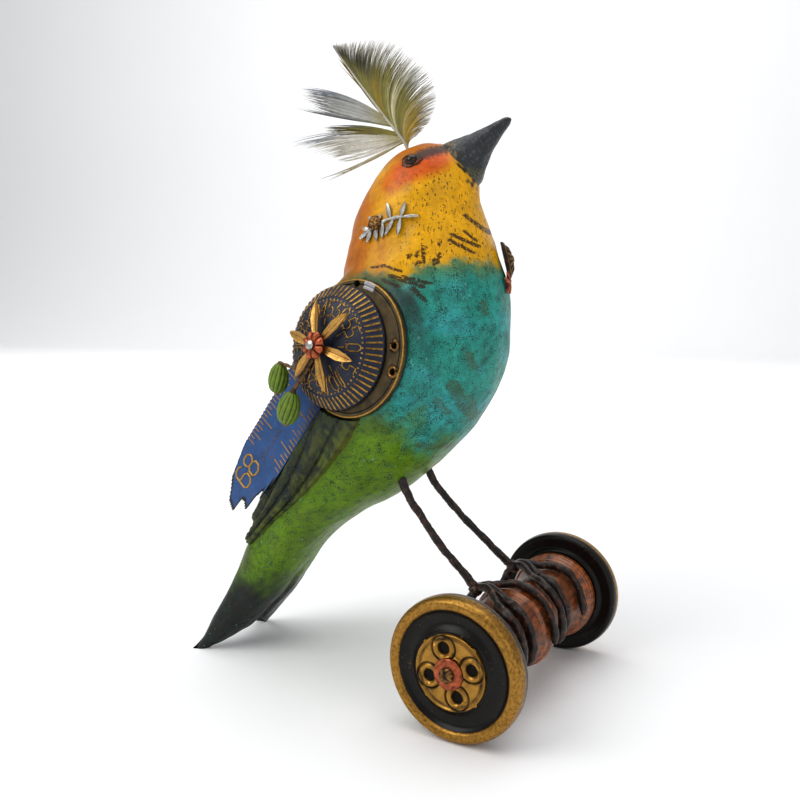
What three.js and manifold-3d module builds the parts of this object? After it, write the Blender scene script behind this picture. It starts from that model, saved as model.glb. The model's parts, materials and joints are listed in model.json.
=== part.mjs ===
// A carved wooden bird that stands on wire legs over a turned spool with two free-running wheels.
// Millimetres, +Z up, +X the way the bird faces, -Y its right side. The ground is Z = 0.

import * as THREE from 'three';
import { mergeVertices } from 'three/addons/utils/BufferGeometryUtils.js';
import Module from 'manifold-3d';

const wasm = await Module();
wasm.setup();

// ---------------------------------------------------------------- driving dimensions

const gap = 0.3;                 // air left between pieces that touch

const bodyWidth = 55;            // widest part of the breast
const tailEndWidth = 31.4;       // across the two tips of the forked tail
const forkDepth = 11;            // from the tail's tips up to the notch between them
const tailSkew = 0.2;            // the right tail tip reaches this much further back per mm of width
const tipWidth = 1.8;            // of wood left at each tip
const beakWidth = 15;            // across the root of the beak

const wheelDiameter = 40;
const wheelWidth = 7;
const rimWidth = 3.1;            // gilt band round the outer face
const dishDepth = 0.6;           // how far the face inside the rim lies below the rim
const track = 76;                // between the middles of the two wheels
const axleYaw = 11;              // degrees the axle is turned from square to the bird
const axleOffset = 6.7;          // the axle's middle lies this far to the bird's right

const discDiameter = 21;         // brass disc on the wheel
const discThickness = 1;
const discHoleDiameter = 3.8;
const discHoleRadius = 6.3;      // from the axle to each of the four holes
const washerDiameter = 8.6;
const washerThickness = 0.8;
const nailDiameter = 2.2;
const nailHeadDiameter = 4.2;
const nailHeadHeight = 0.9;
const nailGrip = 9;              // length of shank inside the spool

const endFlangeDiameter = 28;
const midFlangeDiameter = 25;
const waistDiameter = 19;
const flangeWidth = 4;

const legDiameter = 2.9;
const legSpread = 24;            // between the two hips
const footSpread = 27.2;         // between the two feet
const toeDiameter = 2.6;
// Each toe: how far beside the ankle it lies along the spool, and the angle round it where it ends.
const toeEnds = [[-12, -30], [-5.5, -32], [4.5, -8]];
const hipGrip = 7;               // length of leg wire inside the belly

const dialDiameter = 37.4;
const dialHeight = 6.6;
const dialYaw = 19;              // degrees the dial's face is turned towards the tail
const dialRise = 6;              // degrees it is tilted up
const plateDiameter = 41.2;
const plateThickness = 2;
const plateBare = 6.5;           // width of the plate that shows ahead of the dial
const seatInset = 3.6;           // flat-topped boss on the flank, this far inside the plate's edge
const seatDepth = 14;            // how far the boss runs down into the wood
const eyeletDiameter = 3.4;
const eyeletPitch = 7.4;         // between the two eyelets on the plate
const flowerDiameter = 27.4;
const petalWidth = 4.2;
const petalThickness = 0.6;
const petalCount = 6;
const capDiameter = 8.4;
const capHeight = 1.9;
const pinDiameter = 1.2;
const pinHeadDiameter = 2.7;
const podLength = 10.2;
const podDiameter = 6.6;
const stemDiameter = 1.3;

const stripWidth = 19;
const stripThickness = 0.5;
const wingThickness = 2.2;

const eyeDiameter = 3.8;
const charmThickness = 1.1;
const charmNailDiameter = 3.2;
const buttonDiameter = 12;
const buttonHeight = 2.6;
const starDiameter = 7.4;
const quillDiameter = 1.2;
const vaneThickness = 1.6;

// ---------------------------------------------------------------- finishes

const finish = (color, roughness, metalness = 0) =>
  new THREE.MeshStandardMaterial({ color, roughness, metalness });

const paint = finish(0x2fa39b, 0.45);
const slate = finish(0x30343a, 0.3);
const wingPaint = finish(0x33402a, 0.5);
const bead = finish(0x0b0908, 0.1);
const tapeBlue = finish(0x2f5690, 0.45);
const agedBrass = finish(0x6d5a34, 0.45, 0.9);
const navy = finish(0x1d2740, 0.5, 0.3);
const brightBrass = finish(0xc79a4e, 0.3, 1);
const copper = finish(0x9a4a30, 0.35, 1);
const silver = finish(0xd0d0cc, 0.3, 1);
const pod = finish(0x6c8a22, 0.55);
const twig = finish(0x5f4726, 0.7);
const wire = finish(0x3a2118, 0.5, 0.3);
const turnedWood = finish(0x8a4320, 0.4);
const wheelPaint = finish(0x8a6a2c, 0.35, 0.7);
const bronze = finish(0x5c4a2e, 0.45, 0.9);
const feather = finish(0x8d8650, 0.8);
const downy = finish(0xc9c4ae, 0.85);
const shaft = finish(0xd9d4c2, 0.5);

// ---------------------------------------------------------------- solids

const rad = THREE.MathUtils.degToRad;
const vec = (x, y, z) => new THREE.Vector3(x, y, z);

// A closed solid from any closed geometry: corners merged, slivers dropped, faces turned outward.
function solid(geometry) {
  const bare = new THREE.BufferGeometry();
  bare.setAttribute('position', geometry.getAttribute('position').clone());
  if (geometry.index) bare.setIndex(geometry.index.clone());
  const merged = mergeVertices(bare, 1e-4);
  const points = merged.getAttribute('position').array;
  const index = merged.index.array;
  const corner = (i) => new THREE.Vector3().fromArray(points, 3 * i);
  const faces = [];
  let volume = 0;
  for (let i = 0; i < index.length; i += 3) {
    const [a, b, c] = [index[i], index[i + 1], index[i + 2]];
    if (a === b || b === c || c === a) continue;
    faces.push(a, b, c);
    volume += corner(a).dot(corner(b).cross(corner(c)));
  }
  if (volume < 0) faces.reverse();
  const mesh = { numProp: 3, vertProperties: Float32Array.from(points), triVerts: Uint32Array.from(faces) };
  return new wasm.Manifold(new wasm.Mesh(mesh));
}

function surface(body) {
  const { vertProperties, triVerts } = body.getMesh();
  const geometry = new THREE.BufferGeometry();
  geometry.setAttribute('position', new THREE.BufferAttribute(Float32Array.from(vertProperties), 3));
  geometry.setIndex(new THREE.BufferAttribute(Uint32Array.from(triVerts), 1));
  geometry.computeVertexNormals();
  return geometry;
}

function piece(name, shape, material) {
  const geometry = shape.getMesh ? surface(shape) : surface(solid(shape));
  const mesh = new THREE.Mesh(geometry, material);
  mesh.name = name;
  return mesh;
}

const joined = (shapes) => shapes.map(solid).reduce((sum, next) => sum.add(next));

// The skin over rings of equal count, closed by a fan at each end.
function loft(rings) {
  const count = rings[0].length;
  const middle = (ring) => ring.reduce((sum, p) => sum.add(p), vec(0, 0, 0)).divideScalar(count);
  const points = rings.flat();
  const index = [];
  for (let r = 0; r + 1 < rings.length; r += 1) {
    for (let i = 0; i < count; i += 1) {
      const a = r * count + i;
      const b = r * count + (i + 1) % count;
      index.push(a, b, a + count, b, b + count, a + count);
    }
  }
  const last = (rings.length - 1) * count;
  const first = points.push(middle(rings[0])) - 1;
  const end = points.push(middle(rings.at(-1))) - 1;
  for (let i = 0; i < count; i += 1) {
    const next = (i + 1) % count;
    index.push(first, next, i, end, last + i, last + next);
  }
  const geometry = new THREE.BufferGeometry().setFromPoints(points);
  geometry.setIndex(index);
  return geometry;
}

// A solid of revolution about Y from [radius, height] pairs.
function turned(profile, segments = 32) {
  const points = profile.map(([r, h]) => new THREE.Vector2(Math.max(r, 0), h));
  return new THREE.LatheGeometry(points, segments);
}

// The same, standing along +Z.
const turnedUp = (profile, segments) => turned(profile, segments).rotateX(rad(90));

// A ring or drum along +Z between two heights, with a bore when one is given.
function drum(diameter, low, high, bore = 0, segments = 32) {
  const [r, b] = [diameter / 2, bore / 2];
  const profile = [[b, low], [r, low], [r, high], [b, high]];
  if (bore) profile.push([b, low]);
  return turnedUp(profile, segments);
}

function slab(outline, thickness, holes = []) {
  const shape = new THREE.Shape(outline.map(([x, y]) => new THREE.Vector2(x, y)));
  for (const { x, y, d } of holes) {
    shape.holes.push(new THREE.Path().absarc(x, y, d / 2, 0, 2 * Math.PI, true));
  }
  return new THREE.ExtrudeGeometry(shape, { depth: thickness, bevelEnabled: false, curveSegments: 8 });
}

// A round wire through the given points.
function tube(points, diameter, steps = 16, sides = 8) {
  const section = new THREE.Shape();
  section.absarc(0, 0, diameter / 2, 0, 2 * Math.PI);
  const path = new THREE.CatmullRomCurve3(points, false, 'centripetal');
  return new THREE.ExtrudeGeometry(section, {
    extrudePath: path,
    steps,
    curveSegments: sides / 2,
    bevelEnabled: false,
  });
}

const ball = (diameter, centre, segments = 12) =>
  new THREE.SphereGeometry(diameter / 2, segments, segments / 2).translate(...centre);

// A group whose +Z points along `out`, whose +X lies level, at a place.
function facing(place, out) {
  const across = vec(-out.y, out.x, 0).normalize();
  const group = new THREE.Group();
  group.matrixAutoUpdate = false;
  group.matrix.makeBasis(across, out.clone().cross(across), out);
  group.matrix.setPosition(place);
  return group;
}

// ---------------------------------------------------------------- carved body

// Stations from crown to tail: a point of the back, a point of the breast, the half width as a
// share of the widest, and how square the section is (2 is an ellipse).
const stations = [
  { back: [-27.0, 167.0], front: [-24.5, 166.2], half: 0.06, square: 2 },
  { back: [-33.5, 166.9], front: [-19.5, 163.4], half: 0.25, square: 2 },
  { back: [-40.0, 164.2], front: [-16.0, 158.8], half: 0.43, square: 2 },
  { back: [-45.6, 159.2], front: [-14.8, 154.0], half: 0.55, square: 2 },
  { back: [-50.0, 152.6], front: [-14.2, 148.8], half: 0.63, square: 2 },
  { back: [-53.6, 144.6], front: [-12.0, 142.2], half: 0.7, square: 2.05 },
  { back: [-56.0, 135.0], front: [-8.9, 134.0], half: 0.79, square: 2.1 },
  { back: [-58.0, 124.0], front: [-6.0, 123.6], half: 0.89, square: 2.15 },
  { back: [-61.0, 112.0], front: [-5.0, 111.0], half: 0.97, square: 2.15 },
  { back: [-65.5, 99.5], front: [-6.6, 98.0], half: 1, square: 2.15 },
  { back: [-71.0, 87.0], front: [-12.2, 85.2], half: 0.98, square: 2.15 },
  { back: [-77.0, 74.5], front: [-23.0, 71.8], half: 0.91, square: 2.15 },
  { back: [-82.6, 62.0], front: [-38.0, 58.4], half: 0.8, square: 2.15 },
  { back: [-87.4, 51.0], front: [-55.5, 48.2], half: 0.69, square: 2.2 },
  { back: [-91.6, 40.5], front: [-67.4, 38.4], half: 0.61, square: 2.3 },
  { back: [-95.8, 30.5], front: [-75.6, 28.0], half: 0.57, square: 2.4 },
  { back: [-99.8, 20.5], front: [-83.6, 17.6], half: 0.57, square: 2.5 },
  { back: [-104.0, 10.0], front: [-93.6, 7.0], half: 0.58, square: 2.6 },
  { back: [-108.6, -2.0], front: [-104.6, -3.2], half: 0.6, square: 2.6 },
];

const backLine = new THREE.CatmullRomCurve3(stations.map((s) => vec(s.back[0], s.half, s.back[1])));
const frontLine = new THREE.CatmullRomCurve3(stations.map((s) => vec(s.front[0], s.square, s.front[1])));
const tailTop = 42;              // height where the tail's skew begins

function sectionAt(u) {
  const [back, front] = [backLine.getPoint(u), frontLine.getPoint(u)];
  return {
    middle: vec((back.x + front.x) / 2, 0, (back.z + front.z) / 2),
    reach: vec((front.x - back.x) / 2, 0, (front.z - back.z) / 2),
    half: back.y * bodyWidth / 2,
    square: front.y,
  };
}

const bowed = (value, square) => Math.sign(value) * Math.abs(value) ** (2 / square);

function bodyRing(u, grow, count) {
  const { middle, reach, half, square } = sectionAt(u);
  const depth = reach.clone().setLength(reach.length() + grow);
  return Array.from({ length: count }, (_, i) => {
    const angle = 2 * Math.PI * i / count;
    const p = middle.clone().addScaledVector(depth, bowed(Math.cos(angle), square));
    p.y = (half + grow) * bowed(Math.sin(angle), square);
    p.x += tailSkew * p.y * THREE.MathUtils.clamp((tailTop - p.z) / tailTop, 0, 1);
    return p;
  });
}

function bodySkin(grow = 0, rings = 34, count = 24) {
  const us = Array.from({ length: rings + 1 }, (_, i) => i / rings);
  return solid(loft(us.map((u) => bodyRing(u, grow, count))));
}

// The point of the right flank at a given (x, z), found on the section whose line passes there.
function flankPoint(x, z) {
  const side = (u) => {
    const { middle, reach } = sectionAt(u);
    return reach.x * (z - middle.z) - reach.z * (x - middle.x);
  };
  let [low, high] = [0, 1];
  for (let i = 0; i < 30; i += 1) {
    const mid = (low + high) / 2;
    if (side(mid) > 0) high = mid;
    else low = mid;
  }
  const { middle, reach, half, square } = sectionAt(low);
  const share = Math.min(1, Math.hypot(x - middle.x, z - middle.z) / reach.length());
  return vec(x, -half * (1 - share ** square) ** (1 / square), z);
}

// The outward direction of the right flank there.
function flankNormal(x, z) {
  const step = 0.5;
  const slopeX = (flankPoint(x + step, z).y - flankPoint(x - step, z).y) / (2 * step);
  const slopeZ = (flankPoint(x, z + step).y - flankPoint(x, z - step).y) / (2 * step);
  return vec(slopeX, -1, slopeZ).normalize();
}

const mirrored = (p, hand) => vec(p.x, p.y * hand, p.z);

// The V between the tail's two tips, drawn across the tail and pushed through it.
function tailFork() {
  const tip = frontLine.getPoint(1);
  const root = frontLine.getPoint(0.9);
  const along = vec(tip.x - root.x, 0, tip.z - root.z).normalize();
  const through = vec(-along.z, 0, along.x);
  const reach = 12;
  const mouth = tailEndWidth / 2 - tipWidth;
  const outline = [[0, 0], [mouth, forkDepth], [mouth, forkDepth + reach], [-mouth, forkDepth + reach],
    [-mouth, forkDepth]];
  const wedge = slab(outline, 2 * bodyWidth).translate(0, 0, -bodyWidth);
  const ground = root.clone().addScaledVector(along, root.z / -along.z);
  const notch = vec(ground.x, 0, 0).addScaledVector(along, -forkDepth);
  const frame = new THREE.Matrix4().makeBasis(vec(0, 1, 0), along, through);
  wedge.applyMatrix4(frame.setPosition(notch));
  const skew = new THREE.Matrix4().makeShear(0, 0, tailSkew, 0, 0, 0);
  return solid(wedge.applyMatrix4(skew));
}

const groundSize = 300;          // a block below the ground, larger than the whole bird
const underground = () =>
  solid(new THREE.BoxGeometry(groundSize, groundSize, groundSize).translate(0, 0, -groundSize / 2));

// ---------------------------------------------------------------- eyes, beak

const eyePlace = [-31.8, 160.4];
const eyeSink = 0.5;

function eyeCentre(hand) {
  const centre = flankPoint(...eyePlace).addScaledVector(flankNormal(...eyePlace), -eyeSink);
  return mirrored(centre, hand).toArray();
}

// Beak stations: upper edge, lower edge, half width as a share of the root's.
const beakStations = [
  { top: [-29.0, 163.5], under: [-18.5, 152.0], half: 1.05 },
  { top: [-24.3, 166.9], under: [-14.1, 155.2], half: 1 },
  { top: [-20.0, 168.2], under: [-12.6, 159.4], half: 0.76 },
  { top: [-14.6, 170.0], under: [-10.4, 164.0], half: 0.5 },
  { top: [-9.4, 172.0], under: [-7.2, 168.6], half: 0.32 },
  { top: [-6.2, 173.2], under: [-5.2, 171.4], half: 0.18 },
  { top: [-5.0, 173.3], under: [-4.7, 172.6], half: 0.07 },
];

function beakSolid() {
  const top = new THREE.CatmullRomCurve3(beakStations.map((s) => vec(s.top[0], s.half, s.top[1])));
  const under = new THREE.CatmullRomCurve3(beakStations.map((s) => vec(s.under[0], 0, s.under[1])));
  const [steps, count] = [12, 14];
  const rings = Array.from({ length: steps + 1 }, (_, i) => {
    const [a, b] = [top.getPoint(i / steps), under.getPoint(i / steps)];
    return Array.from({ length: count }, (_unused, k) => {
      const angle = 2 * Math.PI * k / count;
      const rise = (1 + Math.cos(angle)) / 2;
      return vec(b.x + (a.x - b.x) * rise, a.y * beakWidth / 2 * Math.sin(angle), b.z + (a.z - b.z) * rise);
    });
  });
  return solid(loft(rings)).subtract(bodySkin(gap));
}

// ---------------------------------------------------------------- dial group on each wing

const dialPlace = [-50.3, 104.7];
const dialStand = 2.1;           // the dial's foot lies this far outside the flank

function dialFrame(hand) {
  const [yaw, rise] = [rad(dialYaw), rad(dialRise)];
  const out = vec(-Math.sin(yaw) * Math.cos(rise), -Math.cos(yaw) * Math.cos(rise), Math.sin(rise));
  const place = flankPoint(...dialPlace).add(vec(0, -dialStand, 0));
  return facing(mirrored(place, hand), mirrored(out, hand));
}

const boreFor = (diameter) => diameter + 2 * gap;
const plateLow = -gap - plateThickness;
const stripLow = plateLow - gap - stripThickness;

// Radius and height of the dial's domed face, from the knurled edge to the bore.
function dialProfile() {
  const [r, h] = [dialDiameter / 2, dialHeight];
  const bore = boreFor(pinDiameter) / 2;
  const face = [[1, 0], [1, 0.1], [0.84, 0.44], [0.63, 0.78], [0.42, 0.94], [0.2, 1]];
  return [[bore, 0], ...face.map(([a, b]) => [a * r, b * h]), [bore, h], [bore, 0]];
}

// The dial's height at a given radius, by straight lines between its profile's corners.
function dialTop(radius) {
  const face = dialProfile().slice(1, -1);
  const next = face.findIndex(([r]) => r < radius);
  if (next < 1) return dialHeight;
  const [[r0, h0], [r1, h1]] = [face[next - 1], face[next]];
  return h0 + (h1 - h0) * (radius - r0) / (r1 - r0);
}

const plateShift = dialDiameter / 2 + plateBare - plateDiameter / 2;
const seatDiameter = plateDiameter - 2 * seatInset;
const eyeletMargin = 1.4;        // between the dial's edge and an eyelet
const eyeletAhead = dialDiameter / 2 + eyeletMargin + eyeletDiameter / 2;
const eyeletRise = 1.2;          // height of the upper eyelet over the dial's middle
const eyeletPlaces = [0, 1].map((i) => [eyeletAhead, eyeletRise - i * eyeletPitch]);

function plateSolid(hand) {
  const disc = new THREE.Shape();
  disc.absarc(hand * plateShift, 0, plateDiameter / 2, 0, 2 * Math.PI);
  const holes = eyeletPlaces.map(([x, y]) => ({ x: hand * x, y, d: boreFor(eyeletDiameter) }));
  holes.push({ x: 0, y: 0, d: boreFor(pinDiameter) });
  for (const { x, y, d } of holes) {
    disc.holes.push(new THREE.Path().absarc(x, y, d / 2, 0, 2 * Math.PI, true));
  }
  const options = { depth: plateThickness, bevelEnabled: false, curveSegments: 14 };
  return new THREE.ExtrudeGeometry(disc, options).translate(0, 0, plateLow);
}

function eyelet(hand, [x, y]) {
  const ring = drum(eyeletDiameter, plateLow + gap, 0, eyeletDiameter * 0.4, 12);
  return ring.translate(hand * x, y, 0);
}

const petalBase = dialHeight + gap + stemDiameter + gap;
const petalTurn = -16.6;         // degrees from the front, petals counted upward

function flowerSolid(hand) {
  const [r, w] = [flowerDiameter / 2, petalWidth / 2];
  const leaf = [[0, -w * 0.45], [r * 0.35, -w * 0.8], [r * 0.65, -w], [r * 0.87, -w * 0.6], [r, 0]];
  const outline = [...leaf, ...leaf.slice(0, -1).reverse().map(([x, y]) => [x, -y])];
  const hub = drum(petalWidth * 1.7, 0, petalThickness, 0, 24);
  const petals = Array.from({ length: petalCount }, (_, i) =>
    slab(outline, petalThickness).rotateZ(rad(hand * (petalTurn + 360 * i / petalCount))));
  const bore = solid(drum(boreFor(pinDiameter), -1, 3, 0, 16));
  return joined([hub, ...petals]).subtract(bore).translate([0, 0, petalBase]);
}

const capBase = petalBase + petalThickness + gap;

function capSolid() {
  const [r, h, b] = [capDiameter / 2, capHeight, boreFor(pinDiameter) / 2];
  return turnedUp([[b, 0], [r * 0.8, 0], [r, h * 0.35], [r * 0.8, h * 0.85], [b, h], [b, 0]], 20)
    .translate(0, 0, capBase);
}

const pinHeadBase = capBase + capHeight + gap;
const pinReach = 11;             // length of pin below the plate

function pinSolid() {
  const [s, r, top] = [pinDiameter / 2, pinHeadDiameter / 2, pinHeadBase];
  const low = plateLow - pinReach;
  return turnedUp([[0, low], [s, low], [s, top], [r, top], [r, top + 0.4], [r * 0.6, top + 0.8],
    [0, top + 0.9]], 12);
}

const podPlaces = [
  { centre: [-19.4, -10.1, 5.2], lean: [0.18, 1, 0.1], size: 0.94 },
  { centre: [-13.9, -19, 5.2], lean: [0.32, 1, 0.1], size: 1.04 },
];

function podSolid(hand, { centre, lean, size }) {
  const [length, r] = [podLength * size / 2, podDiameter * size / 2];
  const rings = [-0.98, -0.8, -0.45, 0, 0.45, 0.8, 0.98];
  const profile = [[0, -length], ...rings.map((t) => [r * Math.sqrt(1 - t * t), t * length]), [0, length]];
  const along = vec(hand * lean[0], lean[1], lean[2]).normalize();
  const turn = new THREE.Quaternion().setFromUnitVectors(vec(0, 1, 0), along);
  return turned(profile, 12).applyQuaternion(turn).translate(hand * centre[0], centre[1], centre[2]);
}

// The twig runs from under the cap, over the dial's shoulder, and forks to the two pods.
function stemSolid(hand) {
  const lift = stemDiameter / 2 + gap;
  const over = (x, y) => vec(hand * x, y, dialTop(Math.hypot(x, y)) + lift);
  const [podA, podB] = podPlaces.map(({ centre, lean, size }) => {
    const along = vec(...lean).normalize().multiplyScalar(podLength * size / 2 + 2 * gap);
    const end = vec(...centre).add(along);
    return vec(hand * end.x, end.y, end.z);
  });
  const fork = over(-7.0, -8.6);
  const main = [over(-1.4, -2.0), over(-4.0, -5.0), fork, podB.clone().lerp(fork, 0.4), podB];
  const branch = [over(-6.6, -8.0), podA.clone().lerp(fork, 0.5).add(vec(0, 0.8, 1)), podA];
  return joined([tube(main, stemDiameter, 10, 6), tube(branch, stemDiameter * 0.8, 6, 6)]);
}

// The tape in the dial's plane: distance along it from the pin, then across it from its front edge.
const stripTurn = 233.1;         // degrees from the front
const stripOff = 4.8;            // its front edge lies this far ahead of the pin's line
const stripStart = 9;            // from the pin to its upper end
const tornEnd = [[52, -18.6], [64, -16.2], [71, -12.2], [72.5, -8.6], [66.4, -8], [65.8, -6.4],
  [67.5, -4], [61.6, -3.6], [60.5, -1.2], [56, -2], [53.5, -0.2], [49, -1]];

const tapeEdge = [46, 0];        // where the tear begins on the front edge

// The room over the tape, wide of its outline, so that it lies on a flat.
const roomEnd = [[54, -20], [72, -15], [74, -8], [69, -3], [61, 0.4]];
const roomHeight = 30;

function alongStrip(hand, outline, thickness, low) {
  const tape = slab(outline.map(([t, w]) => [t, stripOff + w]), thickness).rotateZ(rad(stripTurn));
  if (hand < 0) tape.scale(-1, 1, 1);
  return tape.translate(0, 0, low);
}

function stripSolid(hand) {
  const outline = [[stripStart, 0], [stripStart, -stripWidth], ...tornEnd, tapeEdge];
  return alongStrip(hand, outline, stripThickness, stripLow);
}

function stripRoom(hand) {
  const start = stripStart - gap;
  const outline = [[start, gap], [start, -stripWidth - gap], ...roomEnd];
  return alongStrip(hand, outline, roomHeight, stripLow - gap);
}

// Everything that must be cleared away under the dial: plate seat, tape slot and pin hole.
function dialClearance(hand) {
  const over = drum(plateDiameter + 4 * gap, plateLow - gap, roomHeight).translate(hand * plateShift, 0, 0);
  const hole = drum(boreFor(pinDiameter), plateLow - pinReach - gap, 0, 0, 16);
  const dialRoom = drum(dialDiameter + 2 * gap, -gap, roomHeight);
  return placed(joined([over, dialRoom, hole, stripRoom(hand)]), dialFrame(hand));
}

// The boss under the plate, part of the carved body.
function seatSolid(hand, grow = 0) {
  const top = plateLow - gap + grow;
  const boss = drum(seatDiameter + 2 * grow, top - seatDepth, top).translate(hand * plateShift, 0, 0);
  return placed(solid(boss), dialFrame(hand));
}

function placed(body, group) {
  return body.transform(group.matrix.elements);
}

// ---------------------------------------------------------------- wings

// Outline of the folded wing seen from the side: shoulder, leading edge, stepped tip, back edge.
const wingOutline = [[-46, 102], [-33, 97], [-37.6, 88.5], [-44.4, 80], [-52.6, 70],
  [-61.6, 60.8], [-71, 52.6], [-79.5, 45.8], [-88.6, 37.6], [-91.8, 38.4], [-91.2, 43], [-86.4, 48],
  [-88.4, 52], [-82, 62], [-76, 76], [-69, 92], [-64, 104], [-56, 110]];
const wingSplit = 2.5;           // the wings stay this far from the middle of the back

function wingSolid(hand) {
  const shape = slab(wingOutline, bodyWidth).rotateX(rad(90));
  const prism = solid(shape.translate(0, hand > 0 ? -wingSplit : bodyWidth + wingSplit, 0));
  return bodySkin(wingThickness).intersect(prism)
    .subtract(bodySkin(gap))
    .subtract(seatSolid(hand, gap))
    .subtract(dialClearance(hand));
}

// ---------------------------------------------------------------- cheek charm and breast button

const charmPlace = [-40.2, 141.2];
const charmEyeDiameter = 3.8;
const charmNailShank = 1;
const charmStem = [[-3.2, -2.6], [-1.2, -1.6], [0.6, -0.6], [3, 0.6], [6, 1.3], [13.2, 1.7]];
// Each leaf from its root on the stem to its tip, in the charm's plane, from the nail.
const charmLeaves = [
  [[4.8, 1.0], [3.4, 5.6]], [[8.0, 1.4], [9.0, 5.6]], [[5.9, 1.2], [3.6, -3.4]], [[8.0, 1.4], [7.6, -3.6]],
  [[2.4, 0.2], [2.5, -4.2]], [[0.2, -0.8], [0.6, -5.0]], [[-1.4, -1.6], [-2.7, -5.2]],
  [[-2.8, -2.4], [-5.6, -4.0]], [[-2.2, -2.0], [-5.0, -1.0]], [[0, -0.4], [-2.8, 2.0]],
];

// A flat almond from one point to another, a little longer than the way between them.
function leafSolid([x0, y0], [x1, y1], width) {
  const length = Math.hypot(x1 - x0, y1 - y0) + 1;
  const leaf = new THREE.SphereGeometry(0.5, 6, 3).rotateX(rad(90)).scale(length, width, charmThickness);
  return leaf.rotateZ(Math.atan2(y1 - y0, x1 - x0)).translate((x0 + x1) / 2, (y0 + y1) / 2, 0);
}

function charmSolid(hand) {
  const flip = ([x, y]) => [hand * x, y];
  const stem = charmStem.slice(1).map((end, i) => leafSolid(flip(charmStem[i]), flip(end), 1.1));
  const blades = charmLeaves.map(([root, tip]) => leafSolid(flip(root), flip(tip), 1.3));
  const eye = drum(charmEyeDiameter, -charmThickness * 0.4, charmThickness * 0.4, 0, 20);
  return joined([eye, ...stem, ...blades])
    .subtract(solid(drum(boreFor(charmNailShank), -2, 2, 0, 12)));
}

function nailSolid(headDiameter, headHeight, shank, length) {
  const [r, s] = [headDiameter / 2, shank / 2];
  return turnedUp([[0, -length], [s, -length], [s, 0], [r, 0], [r, headHeight * 0.4],
    [r * 0.6, headHeight * 0.9], [0, headHeight]], 12);
}

const frontPoint = (z) => {
  let u = 0;
  while (frontLine.getPoint(u).z > z && u < 1) u += 0.002;
  return frontLine.getPoint(u);
};

const breastRound = 0.34;        // how far round the breast a turned piece sits, as a share of its width

function breastFrame(z, yaw, rise, stand) {
  const [a, e] = [rad(yaw), rad(rise)];
  const out = vec(Math.cos(a) * Math.cos(e), Math.sin(a) * Math.cos(e), Math.sin(e));
  const place = vec(frontPoint(z).x, bodyWidth * breastRound * Math.sin(a), z);
  return facing(place.addScaledVector(out, stand), out);
}

function buttonSolid() {
  const [r, h, b] = [buttonDiameter / 2, buttonHeight, boreFor(1) / 2];
  return turnedUp([[b, 0], [r * 0.92, 0], [r, h * 0.3], [r * 0.75, h * 0.75], [b, h], [b, 0]], 24);
}

function starSolid() {
  const r = starDiameter / 2;
  const outline = Array.from({ length: 10 }, (_, i) => {
    const [angle, reach] = [Math.PI * i / 5, i % 2 ? r * 0.5 : r];
    return [reach * Math.sin(angle), reach * Math.cos(angle)];
  });
  return slab(outline, 0.7);
}

// ---------------------------------------------------------------- crest

const quillLine = [vec(-37.4, 0, 160), vec(-37.8, 0, 166.4), vec(-46, 0, 177.4), vec(-56, 0, 190.4),
  vec(-62.6, 0, 199.6)];
const fanOutline = [[-38.6, 168.8], [-45, 177.2], [-55, 190.3], [-61.8, 199.8], [-57, 201], [-49, 201],
  [-41, 197.4], [-33.5, 190.4], [-28.8, 182.6], [-28.6, 177.6], [-31.6, 171.6], [-35.2, 168.6]];
const downOutline = [[-40.0, 168.2], [-47.2, 177.4], [-57.6, 190.8], [-63.8, 198.6], [-60.8, 190], [-68, 187],
  [-76.6, 188.6], [-70, 181.6], [-78, 180.6], [-70, 176.4], [-66, 172.6], [-77, 170.4], [-66, 168],
  [-58, 166], [-68, 157.6], [-54, 163], [-44.6, 167.2]];

const upright = (outline, thickness) =>
  slab(outline, thickness).rotateX(rad(90)).translate(0, thickness / 2, 0);

const quillBore = () => solid(tube(quillLine, boreFor(quillDiameter), 10));

// ---------------------------------------------------------------- spool and wheels, turned about Y

const wheelRadius = wheelDiameter / 2;
const nailBore = boreFor(nailDiameter);
const wheelInner = track / 2 - wheelWidth / 2;
const wheelFace = track / 2 + wheelWidth / 2 - dishDepth;
const spoolEnd = wheelInner - gap;

function spoolRadius(y) {
  const reach = spoolEnd - flangeWidth / 2;
  const s = Math.min(Math.abs(y), reach);
  const flat = flangeWidth / 2;
  if (s < flat) return midFlangeDiameter / 2;
  const share = (s - flat) / (reach - flangeWidth / 2 - flat);
  if (share > 1) return endFlangeDiameter / 2;
  const rim = (midFlangeDiameter + (endFlangeDiameter - midFlangeDiameter) * share) / 2;
  return rim - (rim - waistDiameter / 2) * Math.sin(Math.PI * share) ** 0.8;
}

function spoolSolid() {
  const [bore, end, deep] = [nailBore / 2, spoolEnd, spoolEnd - nailGrip - gap];
  const steps = 26;
  const outer = Array.from({ length: steps + 1 }, (_, i) => end * (2 * i / steps - 1));
  return turned([[0, -deep], [bore, -deep], [bore, -end], ...outer.map((y) => [spoolRadius(y), y]),
    [bore, end], [bore, deep], [0, deep]], 20);
}

// Wheel profile from the inner face round the rim to the dished outer face.
function wheelSolid(side) {
  const [r, w, bore] = [wheelRadius, wheelWidth, nailBore / 2];
  const [low, face] = [wheelInner, wheelFace];
  const ring = r - rimWidth;
  const profile = [[bore, low], [r * 0.5, low], [r * 0.62, low + 0.9], [r * 0.86, low + 0.7], [r * 0.95, low],
    [r * 0.99, low + w * 0.25], [r, low + w * 0.5], [r * 0.98, low + w * 0.8], [r * 0.92, low + w],
    [ring, low + w * 0.97], [ring - 0.6, face], [bore, face], [bore, low]];
  return turned(profile.map(([a, y]) => [a, side * y]), 32);
}

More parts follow.
